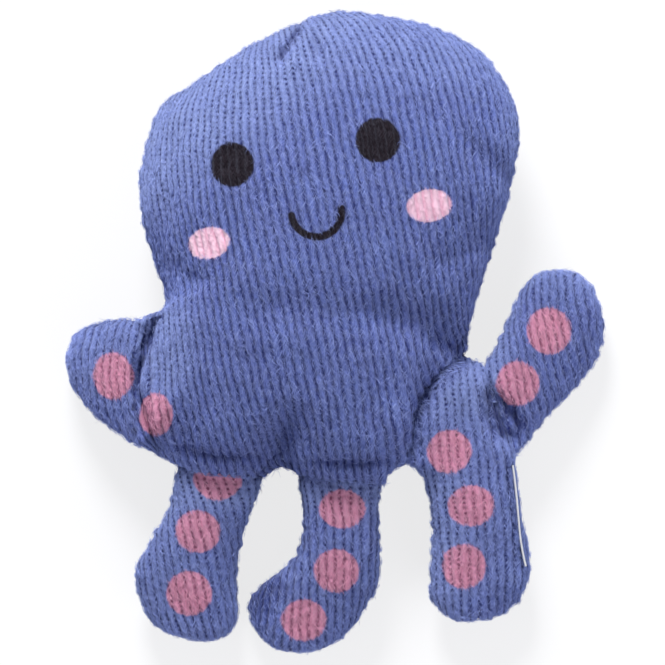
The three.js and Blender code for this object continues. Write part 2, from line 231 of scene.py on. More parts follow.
middleLeg = {
    "name": "middleLeg", "bendLength": 10, "joint": "middle_leg_fold", "node": "middle_leg",
    "carrier": "body", "rootWidth": 21.3, "crown": 8, "droop": 16, "sideDroop": 20, "tipCap": 0.22,
    "rootCap": 0, "saddle": 5.6, "saddleReach": 7, "rows": 124, "columns": 84,
    "first": [(11.4, -34.2), (11.3, -36.8), (10.6, -40.2), (10.7, -47.4), (11, -54.6), (10.1, -61.4),
              (7, -67.1), (3.3, -72.2), (-2.2, -76.1), (-8.5, -77.5)],
    "second": [(-9.1, -32.9), (-8.9, -35.3), (-8, -40.2), (-8, -47.4), (-9.2, -52.9), (-13, -57),
               (-17.6, -60.6), (-20.8, -64.7), (-20.8, -68.6), (-18.3, -73.4), (-14.2, -76.3),
               (-8.5, -77.5)],
}
rightLeg = {
    "name": "rightLeg", "bendLength": 7, "joint": "right_leg_fold", "node": "right_leg", "carrier": "body",
    "rootWidth": 26.9, "crown": 8.4, "droop": 11, "tailDroop": 11, "tipCap": 0.16, "rootCap": 0.12,
    "saddle": 3.6, "saddleReach": 4, "rows": 190, "columns": 84,
    "first": [(35.4, -6.9), (37.6, -12.7), (40.2, -19.9), (43.4, -29.1), (43.8, -32.9), (44.5, -38.2),
              (45.4, -45), (46.8, -51.7), (47.1, -57), (46.4, -61.4), (42.9, -66.2), (38.5, -68.8),
              (33.2, -69.8)],
    "second": [(31.0, -5.6), (26.8, -7.4), (22.2, -11.8), (19.5, -15.5), (18.0, -20.4), (17.3, -27.8),
               (17.0, -30.8), (20, -32.9), (22.1, -37.7), (23.2, -45), (23.4, -51.7), (23, -58.2),
               (23, -63.3), (24.9, -66.9), (28.4, -69.1), (33.2, -69.8)],
}
rightArm = {
    "name": "rightArm", "bendLength": 10, "joint": "right_arm_fold", "node": "right_arm",
    "carrier": "right_leg", "rootWidth": 22.6, "crown": 8, "droop": 20, "tipCap": 0.24, "rootCap": 0,
    "saddle": 6.6, "saddleReach": 8, "rows": 96, "columns": 84,
    "first": [(35.0, -8.3), (35.9, -7.9), (38.3, -3.8), (40.7, 1.1), (42.6, 5.4), (44.6, 9.7), (47, 13.1),
              (50.1, 14.9), (54.7, 15.4)],
    "second": [(42.7, -29.5), (43.6, -29.1), (48.2, -23.8), (53.2, -18.5), (57.8, -13.6), (61.9, -8.6),
               (64.3, -3.8), (65.3, 1.1), (64.3, 6.6), (61.9, 11.9), (58.5, 14.6), (54.7, 15.4)],
}
tentacles = [leftArm, leftLeg, middleLeg, rightLeg, rightArm]
tentacleCloth = {
    "wallAngle": 55,            # degrees from the crown where the sides get steep
    "foldSlope": 55,            # degrees that the cloth rises from the fold
    "waviness": 0.06,           # of the seam
    "pucker": 0.2,
    "puckerReach": 4,
    "pinch": 0.45,
    "floorGap": 0.4,
}
leastHeight = 1.5               # no crease comes nearer the seam's plane than this

# each crease: its places with how deep and how wide it is there, how sharp its floor is where that
# isn't 2, and how flat the pile is pressed in it, which is also how much shade is painted into it
frontCreases = {
    # beside the left arm's root
    "leftArm": {"rows": [(-43.2, 4, 2.6, 1.3), (-44.4, -0.1, 4.6, 1.4), (-46.5, -7.4, 5.2, 1.5),
        (-47.3, -11.2, 5, 1.6), (-47, -14.4, 4.6, 1.6), (-46.1, -17.2, 4.2, 1.6),
        (-45.1, -20.4, 3.8, 1.6), (-44, -24.2, 3, 1.5),
        (-42.6, -27.6, 1.8, 1.4)], "power": 1.8, "pressedAndShaded": 0.75},
    # between the belly's two lobes
    "bellyValley": {"rows": [(-8.5, -16, 0.2, 4), (-10.4, -20.9, 2.6, 4.5), (-12.8, -25.7, 5.4, 5),
        (-14.5, -29.5, 7.6, 5.5), (-14.5, -34, 9, 5.5)]},
    "valleyFloor": {"rows": [(-9.4, -18, 0, 1.5), (-11.6, -23.3, 1.4, 1.8), (-13.8, -28, 2.2, 2.2),
        (-14.3, -33, 2.6, 2.4)], "power": 1.6},
    # the dart on top of the head, with the ridge and the dent right of it
    "dart": {"rows": [(-7.6, 75, 1.2, 1), (-9.9, 71, 3, 1.1), (-11.9, 68, 3.2, 1.2),
        (-13.5, 65, 0.8, 1.3)], "power": 1.8, "pressedAndShaded": 0.75},
    "dartRidge": {"rows": [(-6.6, 73, -0.3, 1.6), (-8.6, 69, -1.3, 1.8), (-10.6, 65, -1.9, 2.1),
        (-11.6, 61, -0.3, 2.2)]},
    "dartDent": {"rows": [(-5.6, 72.5, 0.3, 1.6), (-4.4, 69.5, 1, 1.8),
        (-3.4, 66, 0.3, 1.6)], "pressedAndShaded": 0.25},
    # the waist, where the head sinks in above the belly
    "waist": {"rows": [(-40, 8.6, 0.6, 4), (-31, 7.4, 1.2, 4.6), (-19, 5.8, 1.4, 5), (-6.3, 5, 1.5, 5),
        (8.7, 4.4, 2, 5), (19.7, 2.8, 3.4, 5.2), (26.8, -0.6, 5.4, 5.2), (31.5, -4, 6, 4.6)]},
    # shallow dents in the belly, under the cheeks and at the head's right edge
    "leftBelly": {"rows": [(-36, 1.5, 0.2, 3), (-28.5, -4.2, 0.7, 3), (-17, -6.2, 0.7, 3),
        (-6, -6.6, 0.1, 3)]},
    "leftCheek": {"rows": [(-39.5, 16, 0.8, 2.8), (-33.5, 12.8, 2.0, 2.8), (-27, 12, 0.4, 2.8)]},
    "headRight": {"rows": [(27, 51, 0.4, 3), (34, 43.5, 2.0, 3), (41.5, 38, 2.2, 3)]},
    "rightCheek": {"rows": [(20, 13.5, 0.3, 3.2), (28, 18.5, 1.5, 3.2), (37, 23, 1.8, 3)]},
    # the belly's two lobes stand out over the legs
    "leftLobe": {"rows": [(-38, -19, -1.4, 7), (-30, -24, -2.2, 7.5), (-22, -26.5, -1.8, 7)]},
    "rightLobe": {"rows": [(-1, -27, -1.8, 7), (8, -26, -2.6, 7.5), (15, -20.5, -2.0, 7)]},
    # the waist's right end, and the edge over the shoulder
    "waistEnd": {"rows": [(23, -1.2, 0.2, 2.2), (27.5, -3.2, 1.2, 2.4),
        (31, -4.4, 1.8, 2.2)], "pressedAndShaded": 0.5},
    "shoulder": {"rows": [(31.2, -5.4, 0.4, 1.5), (27.7, -8.6, 0.4, 1.7), (23.4, -12.8, 0.4, 1.8),
        (20.9, -16.4, 0.4, 1.8), (19.4, -21, 0.4, 1.6), (18.8, -28, 0.4, 1.3)], "pressedAndShaded": 0.75},
    # the lips roll over the two legs
    "leftLip": {"rows": [(-39, -27.2, 0.6, 1.2), (-33, -28.6, 1.6, 1.3), (-26, -29.4, 2, 1.3),
        (-18.5, -30.2, 2.2, 1.2)], "pressedAndShaded": 0.5},
    "middleLip": {"rows": [(-6.5, -30.4, 0.8, 1.1), (0, -31, 1.6, 1.3), (7, -31, 2.2, 1.3),
        (13, -30, 1.4, 1.2)], "pressedAndShaded": 0.5},
    # the middle leg's toe: a shallow dent with shade painted into it
    "toe": {"rows": [(-11.5, -59.5, 0.2, 2.4), (-16, -63.2, 0.6, 3),
        (-17.4, -68.5, 0.3, 2.6)], "pressedAndShaded": 0.5},
    # painted shadow lines under the lips over the two legs, with hardly any dent
    "underLeftLip": {"rows": [(-17.8, -35.6, 0.2, 0.6), (-28, -35.5, 0.5, 0.6),
        (-38.2, -33, 0.2, 0.6)], "pressedAndShaded": 0.5},
    "underMiddleLip": {"rows": [(11.2, -37.2, 0.2, 0.6), (5.3, -37.2, 0.5, 0.6), (-1, -36.6, 0.5, 0.6),
        (-8.9, -35, 0.2, 0.6)], "pressedAndShaded": 0.5},
    # the right arm's root
    "armRoot": {"rows": [(36.4, -11.2, 2.6, 1.5), (36.9, -14.4, 5.6, 1.9), (38, -18, 6.4, 2.1),
        (39.6, -21.8, 6, 2.1), (41.4, -25.8, 4, 1.8)], "pressedAndShaded": 0.75},
    "armRootOuter": {"rows": [(38.4, -12.4, 1, 1), (39.4, -14.6, 3, 1.2), (41, -17.2, 4.4, 1.4),
        (42.8, -19.8, 4.8, 1.5), (44.4, -22.6, 4.6, 1.5), (43.8, -26, 3, 1.4)], "pressedAndShaded": 0.7},
    "armRootInner": {"rows": [(34.4, -14.6, 0.8, 1), (35.2, -18.6, 2.2, 1.1), (37, -22.4, 2.8, 1.2),
        (39.8, -25.6, 1.8, 1.2)], "pressedAndShaded": 0.45},
}
for crease in frontCreases.values():
    crease["run"] = smoothRun([row[:2] for row in crease["rows"]], 60)


def alongCrease(crease, spots):
    # distance to the crease and the share of its length at each spot, and its depth and width there
    gap, share = nearestOnRun(crease["run"], spots)
    places = np.linspace(0, 1, len(crease["rows"]))
    depth, width = (np.interp(share, places, [row[k] for row in crease["rows"]]) for k in (2, 3))
    return gap, share, depth, width


def creaseDepth(spots):
    total = np.zeros(len(spots))
    for crease in frontCreases.values():
        gap, _, depth, width = alongCrease(crease, spots)
        total += depth * np.exp(-(gap / width) ** crease.get("power", 2))
    return total


def pressedAndShadedShare(spots):
    # how far the pile is pressed flat in the narrow creases, which is also how much shade is painted there
    pressedAndShaded = np.zeros(len(spots))
    for crease in frontCreases.values():
        if "pressedAndShaded" in crease:
            gap, share, _, width = alongCrease(crease, spots)
            ends = smoothStep(0, 0.15, share) * smoothStep(1, 0.85, share)
            pressedAndShaded = np.maximum(pressedAndShaded, crease["pressedAndShaded"] * ends * np.exp(-(gap / width) ** 2))
    return pressedAndShaded


joints = {joint["name"]: joint for joint in frame["joints"]}
for tentacle in tentacles:
    joint = joints[tentacle["joint"]]
    side = np.array(joint["axis"][:2])
    tentacle["side"] = side / np.linalg.norm(side)
    tentacle["out"] = np.array([-tentacle["side"][1], tentacle["side"][0]])
    tentacle["middle"] = np.array(joint["pos_m"][:2]) / mm
    tentacle["height"] = joint["pos_m"][2] / mm


def fromFold(tentacle, spots):
    away = spots - tentacle["middle"]
    return away @ tentacle["out"], away @ tentacle["side"]


def dropOf(tentacle, spots):
    # how far the seam has sunk below the body's at a place in plan
    out, side = fromFold(tentacle, spots)
    half = tentacle["rootWidth"] / 2
    sunk = np.maximum(out, 0) * math.tan(math.radians(tentacle["droop"]))
    if "tailDroop" in tentacle:
        sunk += np.maximum(side - half, 0) * math.tan(math.radians(tentacle["tailDroop"]))
    if "sideDroop" in tentacle:
        sunk += np.maximum(np.abs(side) - half, 0) * math.tan(math.radians(tentacle["sideDroop"]))
    if tentacle is rightArm:
        roots = rightArm["middle"] + side[:, None] * rightArm["side"]
        sunk += dropOf(rightLeg, roots)
    return sunk


def saddleOf(tentacle, spots, profile=None):
    # the cloth that bridges a fold, as a height above the seam
    if tentacle is rightLeg:
        gap, share = nearestOnRun(shoulderCrease, spots)
    else:
        gap, side = fromFold(tentacle, spots)
        share = side / tentacle["rootWidth"] + 0.5
    if profile is None:
        profile = np.sqrt(np.clip(1 - (2 * share - 1) ** 2, 0, 1))
    return tentacle["saddle"] * profile * np.exp(-(gap / tentacle["saddleReach"]) ** 2)


def foldNearness(spots):
    # one on a fold, and next to nothing a centimetre from it
    near = np.zeros(len(spots))
    for tentacle in tentacles:
        out, side = fromFold(tentacle, spots)
        beyond = np.maximum(np.abs(side) - tentacle["rootWidth"] / 2, 0)
        near = np.maximum(near, np.exp(-(out ** 2 + beyond ** 2) / 25))
    gap, _ = nearestOnRun(shoulderCrease, spots)
    return np.maximum(near, np.exp(-(gap / 5) ** 2))


# the body's skins

def averagedRound(values, reach):
    # each sample of a closed outline with as many neighbours each way
    total = np.zeros_like(values)
    for step in range(-reach, reach + 1):
        total += np.roll(values, step, axis=0)
    return total / (2 * reach + 1)


def bodyOutline():
    points, lips, walls = [], [], []
    share = np.linspace(0, 1, body["runSamples"])[:-1]
    for name, run, lip in bodyRuns:
        points.append(smoothRun(run, body["runSamples"])[:-1])
        lips.append(lip * np.sin(math.pi * share))
        walls.append(np.full(len(share), 0.0 if name in seatNames else 1.0))
    points, lips, walls = np.vstack(points), np.concatenate(lips), np.concatenate(walls)
    closed = np.vstack([points, points[:1]])
    run = np.concatenate([[0], np.cumsum(np.linalg.norm(np.diff(closed, axis=0), axis=1))])
    at = np.linspace(0, run[-1], body["samples"] + 1)[:-1]
    pick = [np.interp(at, run, np.append(values, values[0])) for values in (*points.T, lips, walls)]
    edge = np.stack(pick[:2], axis=1)
    soft = averagedRound(edge, body["softReach"])
    return edge, soft, pick[2], averagedRound(pick[3], body["wallReach"])


bodyEdge, bodySoft, bodyLip, bodyWall = bodyOutline()
bodyCentre = np.array(body["centre"])
bodySpan = np.linalg.norm(bodyEdge - bodyCentre, axis=1)
bodyOut = (bodyEdge - bodyCentre) / bodySpan[:, None]
bodyScallop = body["scallop"] * ripple(bodyEdge, 4.5, 31) * bodyWall


def ringAngles(crown, start, count):
    # angles that space the rings evenly over the dome
    fine = np.linspace(start, math.pi / 2, 2000)
    speed = np.hypot(body["halfWidth"] * np.cos(fine), crown * np.sin(fine))
    run = np.concatenate([[0], np.cumsum((speed[1:] + speed[:-1]) / 2)])
    return np.interp(np.linspace(0, run[-1], count), run, fine)


def bodyRing(face, angle, stride, inset=0.0):
    edge, soft = bodyEdge[::stride], bodySoft[::stride]
    crown = body["frontCrown"] if face > 0 else body["backCrown"]
    reach = soft + (edge - soft) * math.sin(angle) ** 4
    reach = reach + bodyOut[::stride] * (bodyScallop[::stride] * math.sin(angle) ** 30 - inset)[:, None]
    spots = bodyCentre + (reach - bodyCentre) * math.sin(angle)
    if face > 0:
        spots = spots + np.array(body["crownShift"]) * (1 - math.sin(angle)) ** 1.2
    crown = crown - inset
    heights = np.full(len(spots), crown * math.cos(angle))
    degrees = math.degrees(angle)
    # the cloth's own place: on the steep wall it keeps running outwards by the length it has
    steep = math.radians(body["wallAngle"])
    fabric = spots.copy()
    if angle > steep:
        span = bodySpan[::stride]
        fine = np.linspace(steep, angle, 12)
        wallLength = np.trapz(np.hypot(span[:, None] * np.cos(fine), crown * np.sin(fine)), fine, axis=1)
        slope = span * math.cos(steep) / np.hypot(span * math.cos(steep), crown * math.sin(steep))
        run = slope * wallLength - span * (math.sin(angle) - math.sin(steep))
        fabric = spots + bodyOut[::stride] * (run * bodyWall[::stride])[:, None]
    saddle = np.maximum(saddleOf(leftArm, spots) - inset, 0)
    heights = smoothMax(heights, saddle)
    if face > 0:
        lipShare = np.clip((degrees - 62) / 28, 0, 1)
        hang = math.sin(math.pi * min(1, lipShare ** 0.8)) if degrees < 90 else 0
        spots = spots + bodyOut[::stride] * (bodyLip[::stride] * hang)[:, None]
        fade = np.minimum(1, heights / 6)
        creased = heights - creaseDepth(spots) * fade
        heights = np.maximum(creased, np.minimum(heights, max(leastHeight - inset, 0)))
        heights = np.maximum(heights, 0)
    else:
        heights = np.minimum(heights, body["backFlat"])
    tall = body["seam"] + face * (body["seamGap"] + heights)
    return np.column_stack([spots, tall]), fabric


def ringCounts(angles):
    # fewer points round the small rings near the crown
    counts = []
    for angle in angles:
        share = math.sin(angle)
        halvings = sum(share <= limit for limit in body["halveAt"])
        counts.append(body["samples"] >> halvings)
    return counts


def ringFaces(counts, offsets, centreIndex, flip):
    quads, triangles = [], []
    for k in range(1, len(counts)):
        inner, outer = counts[k - 1], counts[k]
        i = np.arange(inner)
        a, b = offsets[k - 1] + i, offsets[k - 1] + (i + 1) % inner
        if inner == outer:
            c, d = offsets[k] + i, offsets[k] + (i + 1) % inner
            quads.append(np.stack([a, c, d, b], axis=1))
        else:
            c = offsets[k] + 2 * i
            d = c + 1
            e = offsets[k] + (2 * i + 2) % outer
            triangles += [np.stack([a, c, d], 1), np.stack([a, d, b], 1), np.stack([b, d, e], 1)]
    i = np.arange(counts[0])
    centre = np.full(counts[0], centreIndex)
    triangles.append(np.stack([centre, offsets[0] + i, offsets[0] + (i + 1) % counts[0]], 1))
    quads = np.vstack(quads)
    triangles = np.vstack(triangles)
    return (quads[:, ::-1], triangles[:, ::-1]) if flip else (quads, triangles)


# rib counts across the cloth

ribs = {
    "pitch": 2.27,              # millimetres from rib to rib, eleven to the inch
    "course": 1.25,             # millimetres from stitch to stitch along a rib
    "height": 0.68,
    "groove": 0.95,
    "lean": 10,                 # degrees that the ribs lean
    "stagger": 0.37,            # how far a rib's stitches are set on from the last rib's, in stitches
}

# The ribs follow smooth fields in plan: (power of x, power of y, weight). The weights were fitted to
# the spacing and lean of the ribs in the photo, and each field is given in spans from its centre
ribFields = {
    "body": {"centre": (0, 20), "span": 50, "terms": [
        (1, 0, 22.240), (0, 1, 4.827), (2, 0, 1.705), (1, 1, -0.512), (0, 2, -0.173), (3, 0, 2.405),
        (2, 1, 0.409), (1, 2, 0.766), (0, 3, -1.449), (4, 0, -3.883), (3, 1, 0.010), (2, 2, -2.216),
        (1, 3, 0.097), (0, 4, -0.196), (5, 0, 3.941), (4, 1, -3.246), (3, 2, -2.713), (2, 3, -0.169),
        (1, 4, 2.305), (0, 5, 1.189), (6, 0, 3.453), (5, 1, -4.095), (4, 2, 1.837), (3, 3, 10.328),
        (2, 4, -4.427), (1, 5, -0.216), (0, 6, 0.763)]},
    "leftArm": {"centre": (-50, -10), "span": 20, "start": -27.7, "terms": [
        (1, 0, 10.689), (0, 1, 0.058), (2, 0, 0.045), (1, 1, -0.290), (0, 2, -2.608), (3, 0, 1.231),
        (2, 1, 1.369), (1, 2, 0.313), (0, 3, -0.029)]},
    "right": {"centre": (38, -25), "span": 40, "terms": [
        (1, 0, 18.425), (0, 1, 3.214), (2, 0, 0.419), (1, 1, 4.815), (0, 2, 1.143), (3, 0, -0.725),
        (2, 1, -5.630), (1, 2, 5.534), (0, 3, -1.286), (4, 0, -1.998), (3, 1, -6.187), (2, 2, -2.933),
        (1, 3, -1.087), (0, 4, -0.797), (5, 0, 3.418), (4, 1, 4.372), (3, 2, 3.640), (2, 3, -0.125),
        (1, 4, -1.858), (0, 5, -0.016)]},
    "leftLeg": {"centre": (-33, -55), "span": 20, "terms": [
        (1, 0, 8.943), (0, 1, 1.814), (2, 0, -1.184), (1, 1, 0.030), (0, 2, 0.013), (3, 0, 0.915),
        (2, 1, -0.728), (1, 2, 0.543), (0, 3, 0.338)]},
    "middleLeg": {"centre": (0, -55), "span": 20, "terms": [
        (1, 0, 9.283), (0, 1, 0.227), (2, 0, -0.508), (1, 1, -0.442), (0, 2, 0.338), (3, 0, 1.313),
        (2, 1, -1.996), (1, 2, -0.093), (0, 3, 0.139)]},
}


def fieldCount(name, spots):
    field = ribFields[name]
    x, y = ((spots - np.array(field["centre"])) / field["span"]).T
    total = np.full(len(spots), float(field.get("start", 0)))
    for i, j, weight in field["terms"]:
        total += weight * x ** i * y ** j
    return total


def ribCount(piece, spots):
    if piece in ("body", "leftArm"):
        share = smoothStep(-41.5, -45.5, spots[:, 0]) * smoothStep(6, 2, spots[:, 1])
        counts = fieldCount("body", spots) * (1 - share) + fieldCount("leftArm", spots) * share
    elif piece in ("rightLeg", "rightArm"):
        counts = fieldCount("right", spots)
    else:
        counts = fieldCount(piece, spots)
    # a rib wanders a little as it runs
    return counts + 0.045 * ripple(spots, 8, 11) + 0.018 * ripple(spots, 3, 12)


def tautAndLitOf(piece, spots):
    # where the cloth is drawn tight its stitches open into holes and show paler yarn; the same share also
    # paints light and shade, paler on faces that catch the lamp and darker in the shade of creases
    x, y = spots.T
    if piece in ("body", "leftArm"):
        # the head's upper left: drawn tight with open stitches, and painted paler where it faces the lamp
        head = smoothStep(-17, 5, (y - 62.6) * 0.8 - (x + 7.6) * 0.6) * smoothStep(10, 30, y)
        # painted light on the left arm's upper part, less of it further out
        arm = smoothStep(-28, -40, x) * smoothStep(12, 2, y) * (0.15 + 0.75 * smoothStep(-22, -8, y))
        arm *= 1 - 0.4 * smoothStep(-46, -49, x)
        # painted light on the head's top and along its right rim
        top = smoothStep(48, 70, y) * 0.7
        right = 0.55 * smoothStep(36, 44, x) * smoothStep(12, 26, y)
        # painted highlight along the dart's ridge
        gap, _ = nearestOnRun(frontCreases["dartRidge"]["run"], spots)
        drawn = np.maximum(np.maximum(head, arm), np.maximum(np.maximum(top, right), 0.12))
        return drawn + 0.5 * np.exp(-(gap / 1.7) ** 2) * smoothStep(73, 68, y)
    if piece == "rightArm":
        # painted light on the right arm's tip and on its upper side by the root
        tip = 0.5 * smoothStep(4, 13, y)
        return 0.1 + tip + 0.85 * smoothStep(-26, -12, y) * smoothStep(47, 38, x)
    if piece == "rightLeg":
        # painted light on the leg's left side and by the shoulder, painted shade along the shoulder crease,
        # and darker towards its lower end
        left = 0.5 * smoothStep(36, 28, x) * smoothStep(-30, -38, y) - 0.3 * smoothStep(-58, -66, y)
        gap, _ = nearestOnRun(shoulderCrease, spots)
        drawn = 0.45 + left + 0.65 * smoothStep(-26, -12, y) * smoothStep(46, 36, x)
        return drawn * (0.35 + 0.65 * smoothStep(1, 6, gap))
    if piece == "middleLeg":
        # painted light at the top under the lip, painted shade on the left toe
        return 0.3 + 0.75 * smoothStep(-46, -38, y) - 0.3 * smoothStep(-10, -18, x)
    # painted light on the leg's left side and at its top under the lip
    return 0.35 + 0.3 * smoothStep(-6, 6, -x - 34) + 0.75 * smoothStep(-45, -38, y)


def ribCoordinates(piece, fabric, spots):
    lean = math.radians(ribs["lean"])
    along = fabric[:, 1] * math.cos(lean) - fabric[:, 0] * math.sin(lean)
    return np.column_stack([ribCount(piece, fabric), along / ribs["course"], tautAndLitOf(piece, spots)])


def ribHeight(coordinates, spots):
    share = coordinates[:, 0] - np.floor(coordinates[:, 0])
    ridge = (0.5 - 0.5 * np.cos(2 * math.pi * share)) ** ribs["groove"]
    uneven = 1 + 0.08 * ripple(spots, 4, 21) + 0.1 * ripple(spots, 1.6, 22)
    return ribs["height"] * ridge * np.clip(uneven, 0.4, 1.6)


def lipCover(skin):
    return np.clip(skin["lips"] * 1.5, 0, 1)


def reliefShare(skin):
    # the ribs flatten out towards the seam, but not on the lips over the legs
    full = lipCover(skin) if "lips" in skin else 0
    return np.clip(np.maximum(0.2 + skin["gaps"] / 8, full), 0, 1)


# making meshes

def skinNormals(points, quads, triangles):
    mesh = newMesh("measure", points, quads.tolist() + triangles.tolist())
    mesh.update()
    normals = vertexNormals(mesh)
    bpy.data.meshes.remove(mesh)
    return normals


def makePiece(name, points, faces, attributes, material):
    mesh = newMesh(name, points * mm, faces)
    for key, values in attributes.items():
        layer = mesh.attributes.new(key, "FLOAT_VECTOR", "POINT")
        layer.data.foreach_set("vector", values.astype(np.float32).ravel())
    smoothFaces(mesh)
    mesh.set_sharp_from_angle(angle=math.radians(75))
    mesh.validate()
    mesh.update()
    mesh.materials.append(material)
    return addObject(name, mesh)


clothThickness = 1.2
pinchReach = 0.9


def bodyAngles(face, rings):
    crown = body["frontCrown"] if face > 0 else body["backCrown"]
    start = 0.006 if face > 0 else math.acos(body["backFlat"] / body["backCrown"])
    return ringAngles(crown, start, rings)


def bodySkin(face):
    angles = bodyAngles(face, body["rings"])
    counts = ringCounts(angles)
    rings, fabrics, keys, gaps, lips = [], [], [], [], []
    for angle, count in zip(angles, counts):
        stride = body["samples"] // count
        ring, fabric = bodyRing(face, angle, stride)
        rings.append(ring)
        fabrics.append(fabric)
        keys.append(bodyEdge[::stride])
        lips.append(bodyLip[::stride])
        gaps.append(np.full(count, (math.pi / 2 - angle) * body["rimRadius"]))
    offsets = np.concatenate([[0], np.cumsum(counts)[:-1]])
    points = np.vstack(rings + [rings[0].mean(axis=0)[None]])
    fabric = np.vstack(fabrics + [fabrics[0].mean(axis=0)[None]])
    keys = np.vstack(keys + [keys[0][:1]])
    gaps = np.concatenate(gaps + [gaps[0][:1]])
    lips = np.concatenate(lips + [lips[0][:1]])
    flip = face > 0                     # because the outline runs clockwise
    quads, triangles = ringFaces(counts, offsets, len(points) - 1, flip)
    return {"points": points, "fabric": fabric, "keys": keys, "gaps": gaps, "quads": quads,
            "triangles": triangles, "counts": counts, "offsets": offsets, "flip": flip, "lips": lips,
            "seams": np.full(len(points), body["seam"])}


def finishSkin(skin, name, form, seed):
    # the simulated padding, short folds at the seam, then the ribs
    points = skin["points"]
    normals = skinNormals(points, skin["quads"], skin["triangles"])
    folds = form["pucker"] * ripple(skin["keys"], 3.8, seed)
    folds *= np.exp(-(skin["gaps"] / form["puckerReach"]) ** 2)
    folds *= np.clip(skin["gaps"] / 1.2, 0.2, 1)
    soft = 0.16 * ripple(points, 13, seed + 1) * smoothStep(2, 9, skin["gaps"])
    points = points + normals * (folds + soft)[:, None]
    points = padded(points, normals, skin["seams"], name)
    normals = skinNormals(points, skin["quads"], skin["triangles"])
    skin["coordinates"] = ribCoordinates(name, skin["fabric"], skin["points"][:, :2])
    # painted light: the legs and the right arm grow paler near their seams
    if name in ("leftLeg", "middleLeg", "rightLeg", "rightArm"):
        skin["coordinates"][:, 2] += 0.4 * smoothStep(6, 1, skin["gaps"])
    # painted light on the rounded lips over the legs, which also opens their stitches there
    if "lips" in skin:
        tautAndLitLip = 0.95 * smoothStep(9, 4, skin["gaps"])
        skin["coordinates"][:, 2] += tautAndLitLip * lipCover(skin)
    skin["print"] = points[:, :2]
    rise = ribHeight(skin["coordinates"], skin["points"][:, :2]) * reliefShare(skin)
    # the seam draws the cloth in along the edge
    skin["rise"] = rise - form["pinch"] * np.exp(-np.abs(points[:, 2] - skin["seams"]) / pinchReach)
    # painted crease shade, with the pressed pile, on the faces that look up
    skin["pressedAndShaded"] = pressedAndShadedShare(skin["points"][:, :2]) * (normals[:, 2] > 0)
    skin["points"], skin["normals"] = points, normals
    skin["outer"] = points + normals * skin["rise"][:, None]
    skin["outer"][:, 2] = np.maximum(skin["outer"][:, 2], 0.15)     # pressed flat where it bears


def keptBySeam(places, seams, face):
    # the inside of the cloth stays on its own side of the seam
    limit = seams + face * body["seamGap"]
    places[:, 2] = np.maximum(places[:, 2], limit) if face > 0 else np.minimum(places[:, 2], limit)
    return places


def bodyPanel(name, face, material):
    skin = bodySkin(face)
    finishSkin(skin, "body", body, 41)
    points, normals, counts, offsets = (skin[key] for key in ("points", "normals", "counts", "offsets"))
    # inside: a few rings one cloth thickness in
    innerRings, innerCounts = [], []
    last = len(counts) - 1
    for back, halvings in body["innerRings"]:
        ring = last - back
        count = body["samples"] >> halvings
        step = counts[ring] // count if counts[ring] >= count else 1
        count = counts[ring] // step
        index = offsets[ring] + np.arange(count) * step
        inner = points[index] - normals[index] * clothThickness
        innerRings.append(keptBySeam(inner, body["seam"], face))
        innerCounts.append(count)
    innerRings.reverse()
    innerCounts.reverse()
    base = len(points)
    innerOffsets = base + np.concatenate([[0], np.cumsum(innerCounts)[:-1]])
    inner = np.vstack(innerRings + [innerRings[0].mean(axis=0)[None]])
    flip = skin["flip"]
    innerQuads, innerTriangles = ringFaces(innerCounts, innerOffsets, base + len(inner) - 1, not flip)
    n = body["samples"]
    i = np.arange(n)
    rimOuter, rimInner = offsets[-1], innerOffsets[-1]
    band = np.stack([rimOuter + i, rimInner + i, rimInner + (i + 1) % n, rimOuter + (i + 1) % n], axis=1)
    if flip:
        band = band[:, ::-1]
    faces = []
    for part in (skin["quads"], skin["triangles"], innerQuads, innerTriangles, band):
        faces += part.tolist()
    cloth = np.vstack([skin["print"], inner[:, :2]])
    # the third place is the painted crease shade, as a negative share; the inside has none
    cloth = np.column_stack([cloth, np.concatenate([-skin["pressedAndShaded"], np.zeros(len(inner))])])
    rib = np.vstack([skin["coordinates"], inner * (1, 1, 0)])
    skin["piece"] = makePiece(name, np.vstack([skin["outer"], inner]), faces,
                              {"clothPoint": cloth, "ribPoint": rib}, material)
    return skin


